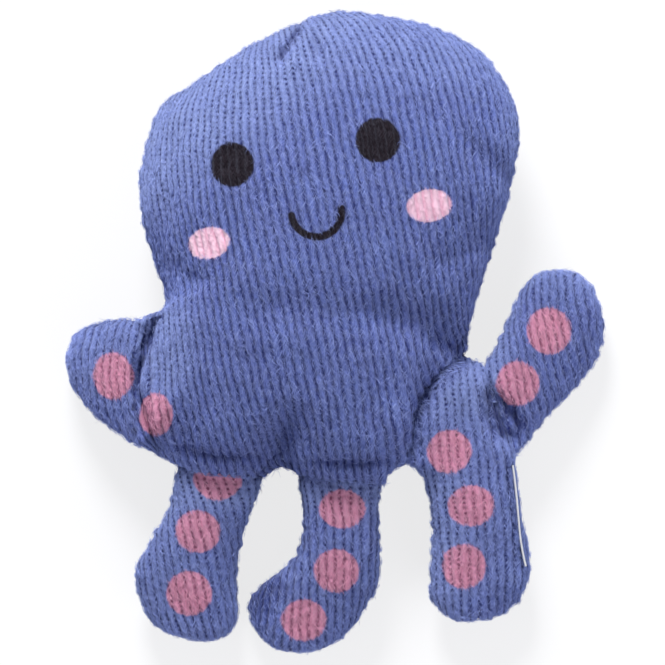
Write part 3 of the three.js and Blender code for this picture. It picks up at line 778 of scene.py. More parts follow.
def tentacleGrid(tentacle, face, rows, columns, inset=0.0):
    dense = 1200
    firstRail = smoothRun(tentacle["first"], dense)
    secondRail = smoothRun(tentacle["second"], dense)
    even = np.linspace(0, 1, rows + 1)
    along = 0.5 * even + 0.5 * (1 - (1 - even) ** 2)
    length = np.linalg.norm((firstRail[-1] + secondRail[-1] - firstRail[0] - secondRail[0]) / 2)
    along = along * (1 - 1.2 * inset / length)
    turn = np.linspace(-math.pi / 2, math.pi / 2, columns + 1)
    at = np.arange(dense) / (dense - 1)
    first = np.stack([np.interp(along, at, firstRail[:, k]) for k in (0, 1)], axis=1)
    second = np.stack([np.interp(along, at, secondRail[:, k]) for k in (0, 1)], axis=1)
    centre, half = (first + second) / 2, (second - first) / 2
    width = np.maximum(np.linalg.norm(half, axis=1), 1e-6)
    unit = half / width[:, None]
    half = unit * np.maximum(width - inset, 0.15 * width)[:, None]
    half[-1] = 0
    spots = centre[:, None, :] + half[:, None, :] * np.sin(turn)[None, :, None]
    keys = centre[:, None, :] + half[:, None, :] * np.sign(turn)[None, :, None]
    # a wavy seam
    waves = tentacleCloth["waviness"] * ripple(keys.reshape(-1, 2), 4, 33).reshape(rows + 1, columns + 1)
    waves = waves * np.abs(np.sin(turn))[None, :] ** 12 * np.minimum(1, width / 4)[:, None]
    spots = spots + unit[:, None, :] * (np.sign(turn)[None, :] * waves)[:, :, None]
    # the cloth's own place runs on outwards down the steep sides
    steep = math.radians(tentacleCloth["wallAngle"])
    excess = np.sign(turn) * np.maximum(np.abs(turn) - steep, 0)
    reachOut = excess * 0.75 - np.sign(turn) * np.maximum(np.abs(np.sin(turn)) - math.sin(steep), 0)
    fabric = spots + unit[:, None, :] * (reachOut[None, :, None] * np.minimum(width, 10)[:, None, None])
    endRound = roundedEnd((1 - along) / tentacle["tipCap"])
    if tentacle["rootCap"]:
        endRound = endRound * roundedEnd(along / tentacle["rootCap"])
    crowned = (tentacle["crown"] - inset) * np.cos(turn)[None, :] * endRound[:, None]
    flat = spots.reshape(-1, 2)
    out, _ = fromFold(tentacle, flat)
    heights = crowned.ravel()
    profile = None if tentacle is rightLeg else np.tile(np.cos(turn), rows + 1)
    if tentacle["rootCap"] == 0:
        slope = math.tan(math.radians(tentacleCloth["foldSlope"]))
        heights = smoothMin(heights, np.maximum(out, 0) * slope)
    heights = smoothMax(heights, np.maximum(saddleOf(tentacle, flat, profile) - inset, 0))
    if tentacle is rightLeg:
        heights = smoothMax(heights, np.maximum(saddleOf(rightArm, flat) - inset, 0))
    if face > 0:
        creased = heights - creaseDepth(flat) * np.clip(heights / 5, 0, 1)
        heights = np.maximum(creased, np.minimum(heights, max(leastHeight - inset, 0)))
    if tentacle["rootCap"] == 0:
        heights = heights - np.maximum(-out, 0) * 1.3
    heights = np.maximum(heights, 0)
    seams = body["seam"] - dropOf(tentacle, flat)
    gaps = ((math.pi / 2 - np.abs(turn))[None, :] * np.minimum(width, 12)[:, None]).ravel()
    if face < 0:
        heights = np.minimum(heights, np.maximum(seams - tentacleCloth["floorGap"], 1))
    points = np.column_stack([flat, seams + face * (body["seamGap"] + heights)])
    wide = columns + 1
    keep = rows * wide + 1              # the last row is one place
    edgeFirst, edgeSecond = points[wide - 1] - points[0], points[wide] - points[0]
    flip = np.cross(edgeFirst[:2], edgeSecond[:2]) * face < 0
    quads, triangles = gridFaces(rows, columns, 0, flip)
    rim = list(range(columns)) + [r * wide + columns for r in range(rows)] + [rows * wide]
    rim += [r * wide for r in range(rows - 1, 0, -1)]
    return {"points": points[:keep], "seams": seams[:keep], "fabric": fabric.reshape(-1, 2)[:keep],
            "keys": keys.reshape(-1, 2)[:keep], "gaps": gaps[:keep], "quads": quads, "triangles": triangles,
            "rim": rim, "flip": flip}


def gridFaces(rows, columns, offset, flip):
    # the faces of the last row meet in one place, the tip
    grid = offset + gridQuads(rows, columns)
    tip = np.full(columns, offset + rows * (columns + 1))
    quads, triangles = grid[:-columns], np.column_stack([grid[-columns:, :2], tip])
    return (quads[:, ::-1], triangles[:, ::-1]) if flip else (quads, triangles)


def tentaclePanel(tentacle, name, face, material):
    rows, columns = tentacle["rows"], tentacle["columns"]
    skin = tentacleGrid(tentacle, face, rows, columns)
    finishSkin(skin, tentacle["name"], tentacleCloth, 51)
    points, seams = skin["points"], skin["seams"]
    inner = points - skin["normals"] * clothThickness
    inner = keptBySeam(inner, seams, face)
    count = len(points)
    innerQuads, innerTriangles = gridFaces(rows, columns, count, not skin["flip"])
    rim = skin["rim"]
    band = [[a, b, b + count, a + count] for a, b in zip(rim, rim[1:] + rim[:1])]
    if not skin["flip"]:
        band = [quad[::-1] for quad in band]
    faces = band
    for part in (skin["quads"], skin["triangles"], innerQuads, innerTriangles):
        faces += part.tolist()
    # the third place is the painted crease shade, as a negative share
    cloth = np.column_stack([skin["print"], -skin["pressedAndShaded"]])
    skin["piece"] = makePiece(name, np.vstack([skin["outer"], inner]), faces,
                              {"clothPoint": np.vstack([cloth, cloth]),
                               "ribPoint": np.vstack([skin["coordinates"], skin["coordinates"]])}, material)
    return skin


# closed forms of few faces, for the simulation and the filling

def joinedForm(front, back, frontRim, backRim, frontFaces, backFaces):
    count = len(front)
    faces = [list(face) for face in frontFaces] + [[v + count for v in face] for face in backFaces]
    loop = list(zip(frontRim, backRim))
    band = [[a[0], b[0], b[1] + count, a[1] + count] for a, b in zip(loop, loop[1:] + loop[:1])]
    mesh = newMesh("form", np.vstack([front, back]) * mm, faces + band)
    mesh.update()
    outwardFaces(mesh)
    return mesh


def bodyForm(inset, rings, halvings):
    count = body["samples"] >> halvings
    sides = []
    for face in (1, -1):
        angles = bodyAngles(face, rings)
        places = np.vstack([bodyRing(face, angle, 1 << halvings, inset)[0] for angle in angles])
        offsets = np.arange(rings) * count
        places = np.vstack([places, places[:count].mean(axis=0)[None]])
        quads, triangles = ringFaces([count] * rings, offsets, len(places) - 1, face > 0)
        sides.append((places, quads.tolist() + triangles.tolist()))
    rim = ((rings - 1) * count + np.arange(count)).tolist()
    return joinedForm(sides[0][0], sides[1][0], rim, rim, sides[0][1], sides[1][1])


def tentacleForm(tentacle, inset, rows, columns):
    front = tentacleGrid(tentacle, 1, rows, columns, inset)
    back = tentacleGrid(tentacle, -1, rows, columns, inset)
    return joinedForm(front["points"], back["points"], front["rim"], back["rim"],
                      front["quads"].tolist() + front["triangles"].tolist(),
                      back["quads"].tolist() + back["triangles"].tolist())


# the padding is blown up by a cloth simulation, and the skins take its movement
padding = {
    "smaller": 1.0,             # how far inside the skin each form starts
    "bodyVoxel": 4.0,
    "tentacleVoxel": 2.6,
    "pressure": 4.0,
    "frames": 20,
    "most": 2.0,                # a point moves no further than this
    "bodyMass": 0.3,
    "tentacleMass": 0.03,
}
paddingMoves = {}


def simulatePadding():
    scene = bpy.context.scene
    forms = {"body": bodyForm(padding["smaller"], rings=18, halvings=3)}
    for tentacle in tentacles:
        forms[tentacle["name"]] = tentacleForm(tentacle, padding["smaller"], rows=24, columns=20)
    holders = {}
    for name, mesh in forms.items():
        holder = addObject(name + "Padding", mesh)
        remesh = holder.modifiers.new("remesh", "REMESH")
        remesh.mode = "VOXEL"
        remesh.voxel_size = padding["bodyVoxel" if name == "body" else "tentacleVoxel"] * mm
        made = bpy.data.meshes.new_from_object(holder.evaluated_get(bpy.context.evaluated_depsgraph_get()))
        holder.modifiers.clear()
        holder.data = made
        cloth = holder.modifiers.new("cloth", "CLOTH")
        cloth.settings.quality = 6
        cloth.settings.mass = padding["bodyMass" if name == "body" else "tentacleMass"]
        cloth.settings.use_pressure = True
        cloth.settings.uniform_pressure_force = padding["pressure"]
        cloth.settings.effector_weights.gravity = 0
        cloth.point_cache.frame_start = 1
        cloth.point_cache.frame_end = padding["frames"]
        holders[name] = (holder, vertexPlaces(made))
    for step in range(1, padding["frames"] + 1):
        scene.frame_set(step)
    depsgraph = bpy.context.evaluated_depsgraph_get()
    for name, (holder, start) in holders.items():
        moved = vertexPlaces(holder.evaluated_get(depsgraph).data) - start
        length = np.maximum(np.linalg.norm(moved, axis=1), 1e-6)
        moved *= (np.minimum(length, padding["most"]) / length)[:, None]
        tree = KDTree(len(start))
        for index, place in enumerate(start):
            tree.insert(place, index)
        tree.balance()
        paddingMoves[name] = (tree, moved)
        print("padding of", name, "swelled", round(float(length.mean()), 2), "mm, at most",
              round(float(length.max()), 2))
        holder.modifiers.clear()
        mesh = holder.data
        bpy.data.objects.remove(holder)
        bpy.data.meshes.remove(mesh)
    scene.frame_set(1)


def padded(points, normals, seams, name):
    if name not in paddingMoves:
        return points
    tree, moves = paddingMoves[name]
    shift = np.zeros_like(points)
    for index, place in enumerate(points):
        found = tree.find_n(place, 6)
        weights = np.array([1 / (gap * gap + 0.5) for _, _, gap in found])
        shift[index] = weights @ moves[[i for _, i, _ in found]] / weights.sum()
    shift -= normals * padding["smaller"]
    shift[:, :2] *= 0.5                 # the seam holds the cloth's width
    fade = smoothStep(0.3, 5, np.abs(points[:, 2] - seams)) * (1 - foldNearness(points[:, :2]))
    return points + shift * fade[:, None]


# loose fibres brushed up out of the knit, drawn thicker than real ones so that they show
nap = {
    "thickness": 0.046,
    "shortest": 1.2,
    "longest": 3.6,
    "lift": 0.26,
    "lean": (14, 48),           # degrees from upright, head end to the left
    "otherLean": (-50, -10),
    "otherShare": 0.3,
    "seed": 61,
}


def napPiece(name, skin, count, seed, material, brush=None):
    rng = np.random.default_rng(seed)
    points, normals, quads = skin["points"], skin["normals"], skin["quads"]
    corners = points[quads]
    area = np.linalg.norm(np.cross(corners[:, 2] - corners[:, 0], corners[:, 3] - corners[:, 1]), axis=1)
    patches = 1 + 0.5 * ripple(corners.mean(axis=1), 9, seed)
    pressed = np.minimum(skin["pressedAndShaded"][quads[:, 0]] * 1.6, 1)
    weight = area * np.clip(patches, 0.3, 1.7) * (1 - 0.95 * pressed)
    roots = quads[rng.choice(len(quads), count, p=weight / weight.sum()), rng.integers(0, 4, count)]
    lean = rng.uniform(*nap["lean"], count)
    other = rng.random(count) < nap["otherShare"]
    lean[other] = rng.uniform(*nap["otherLean"], other.sum())
    lean = np.radians(lean) + (rng.random(count) < 0.5) * math.pi
    aim = np.column_stack([-np.sin(lean), np.cos(lean), np.zeros(count)])
    length = rng.uniform(nap["shortest"], nap["longest"], count) * rng.uniform(0.6, 1, count)
    lift = nap["lift"] * rng.uniform(0.2, 1.2, count)
    if brush is not None:
        extraRoots, extraAim, extraLength, extraLift = brush(rng, points, normals)
        roots = np.concatenate([roots, extraRoots])
        aim = np.vstack([aim, extraAim])
        length = np.concatenate([length, extraLength])
        lift = np.concatenate([lift, extraLift])
        count = len(roots)
    normal = normals[roots]
    aim = aim - normal * (aim * normal).sum(axis=1)[:, None]
    aim /= np.maximum(np.linalg.norm(aim, axis=1), 1e-3)[:, None]
    side = np.cross(normal, aim)
    bend = rng.normal(0, 0.22, count) * length
    rise = skin["rise"][roots]
    # at the seam the fibres are short and lie close
    inside = np.clip(skin["gaps"][roots] / 6, 0.1, 1)
    top = ribs["height"] * reliefShare(skin)[roots]
    lift = lift * inside
    length = length * (0.3 + 0.7 * inside)
    bend = bend * inside
    lifts = np.stack([rise - 0.05, top + lift, top * 0.9 + lift * 0.9, top * 0.6 + lift * 0.3], 1)
    lifts -= (np.array([0, 0.33, 0.66, 1])[None, :] * length[:, None]) ** 2 / 90
    path = []
    for step, share in enumerate((0, 0.33, 0.66, 1)):
        path.append(points[roots] + aim * (length * share)[:, None] + normal * lifts[:, step, None]
                    + side * (bend * math.sin(math.pi * share * 0.8))[:, None])
    thick = nap["thickness"] * rng.uniform(0.6, 1.2, count)
    turn = rng.uniform(0, 2 * math.pi, count)
    # a strand is four rings of three points
    strandPoints = 12
    places = np.zeros((count, 4, 3, 3))
    for step, share in enumerate((0.9, 1, 0.85, 0.35)):
        for corner in range(3):
            way = turn + corner * 2 * math.pi / 3
            places[:, step, corner] = path[step] + (normal * np.cos(way)[:, None]
                                                    + side * np.sin(way)[:, None]) * (thick * share)[:, None]
    places[..., 2] = np.maximum(places[..., 2], 0.05)
    one = []
    for step in range(3):
        for corner in range(3):
            after = (corner + 1) % 3
            one.append([step * 3 + corner, step * 3 + after, step * 3 + 3 + after, step * 3 + 3 + corner])
    starts = (np.arange(count) * strandPoints)[:, None, None]
    strands = (np.array(one)[None] + starts).reshape(-1, 4).tolist()
    strands += (np.array([[2, 1, 0], [9, 10, 11]])[None] + starts).reshape(-1, 3).tolist()
    # a fibre takes the dye partly where it is rooted, on the light part of its rib
    cloth = np.repeat(np.column_stack([skin["print"][roots], rng.uniform(0.3, 1, count)]), strandPoints,
                      axis=0)
    cloth[:, :2] = 0.4 * cloth[:, :2] + 0.6 * places.reshape(-1, 3)[:, :2]
    rib = skin["coordinates"][roots].copy()
    rib[:, 0] = np.floor(rib[:, 0]) + 0.5
    rib[:, 1] = np.floor(rib[:, 1]) + 0.5 - np.mod(np.floor(rib[:, 0] + 0.5) * ribs["stagger"], 1)
    rib[:, :2] += rng.uniform(-0.02, 0.02, (count, 2))
    rib = np.repeat(rib, strandPoints, axis=0)
    return makePiece(name, places.reshape(-1, 3), strands, {"clothPoint": cloth, "ribPoint": rib}, material)


# materials

def clearTree(holder):
    holder.use_nodes = True
    holder.node_tree.nodes.clear()
    return holder.node_tree


def addNode(tree, kind, settings, *inputs, output=0):
    # settings by name or number, then the first inputs in order; a socket among them is linked
    node = tree.nodes.new("ShaderNode" + kind)
    for key, value in [*settings.items(), *enumerate(inputs)]:
        if isinstance(key, str) and hasattr(node, key):
            setattr(node, key, value)
        elif isinstance(value, bpy.types.NodeSocket):
            tree.links.new(value, node.inputs[key])
        else:
            node.inputs[key].default_value = value
    return node.outputs[output] if node.outputs else None


# settings that many nodes share
plus = {"operation": "ADD"}
minus = {"operation": "SUBTRACT"}
times = {"operation": "MULTIPLY"}
larger = {"operation": "MAXIMUM"}
zigzag = {"operation": "PINGPONG"}
smooth = {"interpolation_type": "SMOOTHSTEP"}

# Brushed rib knit of dyed cotton and polyester yarn: matt, with a soft pile that catches light
# along its edges; its colours also paint shade into grooves and creases and light on lit faces
knit = {
    "ridge": "#6475bb",
    "ridgeWarm": "#6370b5",
    # the drawn colour also paints light where faces catch the lamp, on seams and lips
    "drawn": "#8b9bd2",         # cloth drawn tight shows its paler yarn
    # painted shade for grooves, holes and creases, also the dark of the yarn's twist and fibre streaks
    "grooveShadeAndDarkYarn": "#1f2766",
    "fuzzTint": "#a5b4ea",
    "sucker": "#dd96b3",
    # painted shade in the suckers' grooves and creases, also their darker fibre streaks
    "suckerShadeAndDarkYarn": "#8c4f6c",
    "suckerFuzz": "#f2bfd2",
    "cheek": "#ffd9e9",
    # painted shade in the cheeks' grooves and holes
    "cheekGrooveShade": "#ffc6dc",
    "ink": "#170f16",
    "inkFuzz": "#453a42",
    "sheen": "#d5daf6",
}

# prints, in millimetres: place, half sizes, lean in degrees
eyes = [((-24.4, 40.1), (5.1, 5.3), 0), ((10.1, 45.9), (5.3, 5.3), 0)]
cheeks = [((-29.9, 21.6), (4.95, 3.75), 10), ((22.3, 30.5), (5.4, 3.85), 10)]
smile = {"from": (-10.3, 28.0), "low": (-3.9, 23.0), "to": (1.4, 29.7), "stroke": 0.9}
smilePlaces = [np.array(smile[key]) for key in ("from", "low", "to")]
suckers = {
    "body": [((-42.9, -19.4), (4.2, 5.1), -8)],
    "leftArm": [((-53.3, -10.2), (4.8, 5.6), 0), ((-42.9, -19.4), (4.2, 5.1), -8)],
    "leftLeg": [((-28.2, -34.6), (5.7, 5.5), 0), ((-33, -47.6), (5.3, 5.1), 0),
                ((-35.2, -62.6), (5.4, 5.4), 0)],
    "middleLeg": [((1.7, -42.1), (5.4, 4.7), 0), ((0.3, -57.1), (5.3, 5.3), 0),
                  ((-7.5, -69.1), (5.4, 5.0), 0)],
    "rightLeg": [((27.4, -28.3), (5.3, 5.15), 0), ((32.7, -41.4), (5.45, 4.9), 0),
                 ((31.1, -56.1), (5.2, 5.4), 0)],
    "rightArm": [((51.5, 0.6), (5.4, 5.6), 0), ((44.0, -12), (5.05, 5.3), 15)],
}


def knitMaterial(name, prints):
    material = bpy.data.materials.new(name)
    tree = clearTree(material)
    add = partial(addNode, tree)
    ribPlace = add("Attribute", {"attribute_name": "ribPoint"}, output="Vector")
    count, course, tautAndLit = add("SeparateXYZ", {}, ribPlace).node.outputs
    across = add("Math", times, count, ribs["pitch"])
    along = add("Math", times, course, ribs["course"])
    knitPlace = add("CombineXYZ", {}, across, along)
    clothPlace = add("Attribute", {"attribute_name": "clothPoint"}, output="Vector")
    # above nothing on loose fibres, and below it by the shade painted into the creases
    loose = add("SeparateXYZ", {}, clothPlace, output=2)

    # fibres brushed out of the yarn, drawn longer than one fibre is so that they show
    def fibres(lean, length, width, seed):
        turned = add("VectorRotate", {"rotation_type": "Z_AXIS", "Angle": math.radians(lean)}, knitPlace)
        drawn = add("VectorMath", times, turned, (1 / width, 1 / length, 1))
        moved = add("VectorMath", plus, drawn, (seed, seed * 0.7, seed * 1.3))
        return add("TexNoise", {"Scale": 1.0, "Detail": 2.5, "Roughness": 0.55, "Distortion": 0.6,
                                "Vector": moved})

    firstFuzz = fibres(36, 2.4, 0.2, 3.1)
    secondFuzz = fibres(-26, 2.0, 0.2, 17.7)
    thirdFuzz = fibres(12, 1.7, 0.17, 31.3)
    grain = add("TexNoise", {"Scale": 4.5, "Detail": 1.5, "Roughness": 0.6, "Vector": knitPlace})
    fine = add("TexNoise", {"Scale": 1.6, "Detail": 3.0, "Roughness": 0.6, "Vector": knitPlace})
    broad = add("TexNoise", {"Scale": 0.09, "Detail": 2.0, "Roughness": 0.5, "Vector": knitPlace})

    jitter = add("Math", times, add("Math", minus, fine, 0.5), 0.3)
    off = add("Math", zigzag, add("Math", plus, count, jitter), 0.5)        # 0 in a groove, 0.5 on a ridge
    groove = add("MapRange", smooth, off, 0.0, 0.34, 1.0, 0.0)
    narrow = add("MapRange", smooth, off, 0.04, 0.24, 1.0, 0.0)
    ribNumber = add("Math", {"operation": "FLOOR"}, add("Math", plus, count, 0.5))
    staggered = add("Math", plus, course, add("Math", times, ribNumber, ribs["stagger"]))
    stitch = add("Math", zigzag, add("Math", plus, staggered, jitter), 0.5)
    hole = add("MapRange", smooth, stitch, 0.1, 0.38, 1.0, 0.0)
    # the grooves and holes sink the bump, and their depth also paints shade into them
    shallow = add("Math", times, groove, add("Math", minus, 0.95, add("Math", times, tautAndLit, 0.62)))
    opening = add("Math", plus, 0.04, add("Math", times, tautAndLit, 0.76))
    sunk = add("Math", times, add("Math", times, narrow, hole), opening)
    depth = add("Math", {"operation": "ADD", "use_clamp": True}, shallow, sunk)
    # the yarn's twist runs slantwise over each rib
    slant = add("Math", plus, course, add("Math", times, count, 1.15))
    twist = add("Math", zigzag, add("Math", plus, slant, jitter), 0.5)

    firstPale = add("MapRange", smooth, firstFuzz, 0.54, 0.7, 0.0, 1.0)
    secondPale = add("MapRange", smooth, secondFuzz, 0.56, 0.72, 0.0, 1.0)
    thirdPale = add("MapRange", smooth, thirdFuzz, 0.56, 0.72, 0.0, 1.0)
    thirdPale = add("Math", times, thirdPale, 0.7)
    lift = add("Math", larger, add("Math", larger, firstPale, secondPale), thirdPale)
    pale = add("Math", larger, add("Math", times, lift, 0.75), add("Math", times, loose, 0.85))
    patchy = add("Math", times, add("Math", minus, grain, 0.47), 0.9)
    pale = add("Math", {"operation": "ADD", "use_clamp": True}, pale, patchy)
    lift = add("Math", larger, lift, loose)
    # painted shade in the creases and under the lips
    pressedAndShaded = add("Math", {"operation": "MULTIPLY", "use_clamp": True}, loose, -1.0)
    dark = add("Math", times, add("MapRange", smooth, thirdFuzz, 0.48, 0.34, 0.0, 1.0),
               add("MapRange", smooth, firstFuzz, 0.56, 0.42, 0.0, 1.0))
    fuzz = add("Math", plus, add("Math", plus, firstFuzz, secondFuzz), thirdFuzz)

    # each cloth or print: its colour, then what lies over it and how far
    warm = add("MapRange", {}, broad, 0.35, 0.65, 0.0, 1.0)
    twistShade = add("Math", times, add("Math", minus, 0.5, twist), 0.26)
    # the groove colours paint shade into grooves, holes and creases, and the drawn colour paints light on
    # lit faces
    layers = {
        "cloth": ["ridge", ("ridgeWarm", warm), ("drawn", tautAndLit), ("grooveShadeAndDarkYarn", depth),
                  ("grooveShadeAndDarkYarn", twistShade),
                  ("fuzzTint", add("Math", times, pale, 0.9)), ("grooveShadeAndDarkYarn", add("Math", times, dark, 0.8)),
                  ("grooveShadeAndDarkYarn", pressedAndShaded)],
        "sucker": ["sucker", ("suckerShadeAndDarkYarn", depth), ("suckerFuzz", add("Math", times, pale, 0.7)),
                   ("suckerShadeAndDarkYarn", add("Math", times, dark, 0.6)), ("suckerShadeAndDarkYarn", pressedAndShaded)],
        "cheek": ["cheek", ("cheekGrooveShade", depth)],
        "eye": ["ink", ("inkFuzz", add("Math", times, lift, 0.5))],
        "smile": ["ink", ("inkFuzz", add("Math", times, lift, 0.4))],
    }
    tones = {}
    for kind in ("cloth", *prints):
        tones[kind] = hexColour(knit[layers[kind][0]])
        for tint, share in layers[kind][1:]:
            tones[kind] = add("Mix", {"data_type": "RGBA", 6: tones[kind], 7: hexColour(knit[tint])}, share,
                              output=2)

    # the prints sit in the cloth, so ribs and fuzz show through them and their edges are ragged
    flat = add("VectorMath", times, clothPlace, (1, 1, 0))
    ragged = add("Math", plus, add("Math", times, add("Math", minus, firstFuzz, 0.5), 0.7),
                 add("Math", times, add("Math", minus, fine, 0.5), 0.5))

    def insideSpot(centre, halves, lean):
        moved = add("VectorMath", minus, flat, (*centre, 0))
        turned = add("VectorRotate", {"rotation_type": "Z_AXIS", "Angle": math.radians(-lean)}, moved)
        scaled = add("VectorMath", {"operation": "DIVIDE"}, turned, (*halves, 1))
        size = add("VectorMath", {"operation": "LENGTH"}, scaled, output="Value")
        inside = add("Math", times, add("Math", minus, 1.0, size), sum(halves) / 2)
        return add("MapRange", smooth, add("Math", plus, inside, ragged), -0.28, 0.28, 0.0, 1.0)

    def insideSmile(start, low, end):
        # on the arc through the three places, or near enough to one of its ends
        sides = np.array([low - start, end - start])
        bow = np.linalg.solve(2 * sides, (sides ** 2).sum(axis=1)) + start
        radius = float(np.linalg.norm(bow - start))
        square = np.array([end[1] - start[1], start[0] - end[0]]) / np.linalg.norm(end - start)
        if (low - start) @ square < 0:
            square = -square
        moves = [add("VectorMath", minus, flat, (*spot, 0)) for spot in (bow, start, end)]
        fromBow, fromStart, fromEnd = (add("VectorMath", {"operation": "LENGTH"}, move, output="Value")
                                       for move in moves)
        offLine = add("Math", {"operation": "ABSOLUTE"}, add("Math", minus, fromBow, radius))
        offEnds = add("Math", {"operation": "MINIMUM"}, fromStart, fromEnd)
        side = add("VectorMath", {"operation": "DOT_PRODUCT"}, moves[1], (*square, 0), output="Value")
        below = add("Math", {"operation": "GREATER_THAN"}, side, 0.0)
        gap = add("Math", plus, add("Math", times, offLine, below),
                  add("Math", times, offEnds, add("Math", minus, 1.0, below)))
        inside = add("Math", minus, smile["stroke"], gap)
        frayed = add("Math", plus, inside, add("Math", times, ragged, 0.6))
        return add("MapRange", smooth, frayed, -0.25, 0.25, 0.0, 1.0)

    colour = tones["cloth"]
    for kind, shapes in prints.items():
        for shape in shapes:
            mask = insideSmile(*shape) if kind == "smile" else insideSpot(*shape)
            colour = add("Mix", {"data_type": "RGBA", 6: colour, 7: tones[kind]}, mask, output=2)

    rise = add("Math", times, depth, -0.6)
    for part, share in ((fuzz, 0.5), (lift, 0.25), (twist, 0.2)):
        rise = add("Math", plus, rise, add("Math", times, part, share))
    bump = add("Bump", {"Strength": 1.0, "Distance": 0.0005, "Height": rise})
    shader = add("BsdfPrincipled", {"Base Color": colour, "Normal": bump, "Roughness": 0.95,
                                    "Specular IOR Level": 0.1, "Sheen Weight": 0.14,
                                    "Sheen Roughness": 0.45, "Sheen Tint": hexColour(knit["sheen"])})
    add("OutputMaterial", {}, shader)
    return material


knitPlain = knitMaterial("brushedRibKnit", {})
knitFace = knitMaterial("brushedRibKnitFace", {"eye": eyes, "cheek": cheeks, "sucker": suckers["body"],
                                               "smile": [smilePlaces]})
print("knit materials made")

# pieces

simulatePadding()
print("padding simulated")


def joinFrame(piece, tentacle=None):
    # body pieces are attached to the body; a tentacle's piece only has its placement baked into its points
    if tentacle is None:
        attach(piece, "body")
        return
    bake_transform(piece)


def dressForm(name, material, napCount, tentacle=None, brush=None):
    # front and back cloth of one form, each with its loose fibres
    node = tentacle["node"] if tentacle else "body"
    for face, side, share in ((1, "Front", 1), (-1, "Back", 0.5)):
        cover = material if face > 0 else knitPlain
        if tentacle:
            skin = tentaclePanel(tentacle, name + side + "Panel", face, cover)
        else:
            skin = bodyPanel(name + side + "Panel", face, cover)
        panel = skin["piece"]
        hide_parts(node + "_" + side.lower() + "_panel")
        fibres = napPiece(name + side + "Nap", skin, int(napCount * share), nap["seed"] + face, cover,
                          brush if face > 0 else None)
        for piece in (panel, fibres):
            joinFrame(piece, tentacle)
        print(panel.name, len(panel.data.polygons), "faces,", fibres.name, len(fibres.data.polygons))


def shoulderBrush(rng, points, normals):
    # fibres that lie out over the crease between shoulder and body
    gap, share = nearestOnRun(shoulderCrease, points[:, :2])
    near = np.flatnonzero((gap < 3.2) & (share > 0.05) & (share < 0.97) & (normals[:, 2] > -0.2))
    roots = rng.choice(near, 800)
    lean = np.radians(rng.uniform(20, 125, len(roots)))
    aim = np.column_stack([-np.sin(lean), np.cos(lean), rng.uniform(0.1, 0.5, len(roots))])
    return roots, aim, rng.uniform(1.6, 4.4, len(roots)), rng.uniform(0.1, 0.5, len(roots))


dressForm("body", knitFace, 16000)
napCounts = {"leftArm": 1500, "leftLeg": 2400, "middleLeg": 2400, "rightLeg": 3600, "rightArm": 2600}
for tentacle in tentacles:
    name = tentacle["name"]
    printed = knitMaterial("brushedRibKnit" + name[0].upper() + name[1:], {"sucker": suckers[name]})
    dressForm(name, printed, napCounts[name], tentacle, shoulderBrush if tentacle is rightLeg else None)

# White polyester fibre, carded and blown in: matt, cloudy and slightly warm
filling = {
    "bodyInset": 5.5,
    "inset": 3.2,
    "lump": 0.3,
    "light": "#f4f1ea",
    "dark": "#cfc9bd",
}


def fibreMaterial():
    material = bpy.data.materials.new("blownPolyesterFibre")
    tree = clearTree(material)
    place = addNode(tree, "TexCoord", {}, output="Object")
    clouds = addNode(tree, "TexNoise", {"Scale": 260.0, "Detail": 4.0, "Distortion": 1.5, "Vector": place})
    drawn = addNode(tree, "VectorMath", times, place, (2600, 420, 900))
    hairs = addNode(tree, "TexNoise", {"Scale": 1.0, "Detail": 3.0, "Distortion": 2.0, "Vector": drawn})
    height = addNode(tree, "Math", plus, clouds, hairs)
    tone = addNode(tree, "Mix", {"data_type": "RGBA", 6: hexColour(filling["dark"]),
                                 7: hexColour(filling["light"])}, clouds, output=2)
    bump = addNode(tree, "Bump", {"Strength": 0.7, "Distance": 0.0006, "Height": height})
    shader = addNode(tree, "BsdfPrincipled", {"Base Color": tone, "Normal": bump, "Roughness": 0.9,
                                              "Sheen Weight": 0.3})
    addNode(tree, "OutputMaterial", {}, shader)
    return material


looseFibre = fibreMaterial()


def fillingPiece(name, mesh, seed):
    places = vertexPlaces(mesh)
    normals = vertexNormals(mesh)
    lumps = ripple(places, 7, seed) + 0.6 * ripple(places, 3.5, seed + 1)
    places = places + normals * (filling["lump"] * lumps - 0.15)[:, None]
    mesh.vertices.foreach_set("co", (places * mm).astype(np.float32).ravel())
    smoothFaces(mesh)
    mesh.update()
    mesh.name = name
    mesh.materials.append(looseFibre)
    piece = addObject(name, mesh)
    return piece


bodyFilling = fillingPiece("bodyFilling", bodyForm(filling["bodyInset"], rings=34, halvings=2), 71)
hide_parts("body_filling")
joinFrame(bodyFilling)
for tentacle in tentacles:
    form = tentacleForm(tentacle, filling["inset"], rows=44, columns=30)
    stuffing = fillingPiece(tentacle["name"] + "Filling", form, 72)
    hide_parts(tentacle["node"] + "_filling")
    joinFrame(stuffing, tentacle)
print("fillings made")

# Woven polyester satin tape, heat cut and folded: bright, with a soft streaked gloss
label = {
    "line": [(42.9, -31.7), (43.3, -35.3), (43.8, -40.2), (44.3, -45), (44.9, -49.8), (45.7, -54.0),
             (46.2, -56.1)],
    "width": 24.6,              # of the tape, along the seam
    "sunk": 1.6,                # the two ends are caught in the seam
    "stands": 8.6,
    "thickness": 0.14,
    "apart": 0.3,
    "lean": -0.15,
    "colour": "#f1f1ee",
    "shade": "#d9d9d6",
}


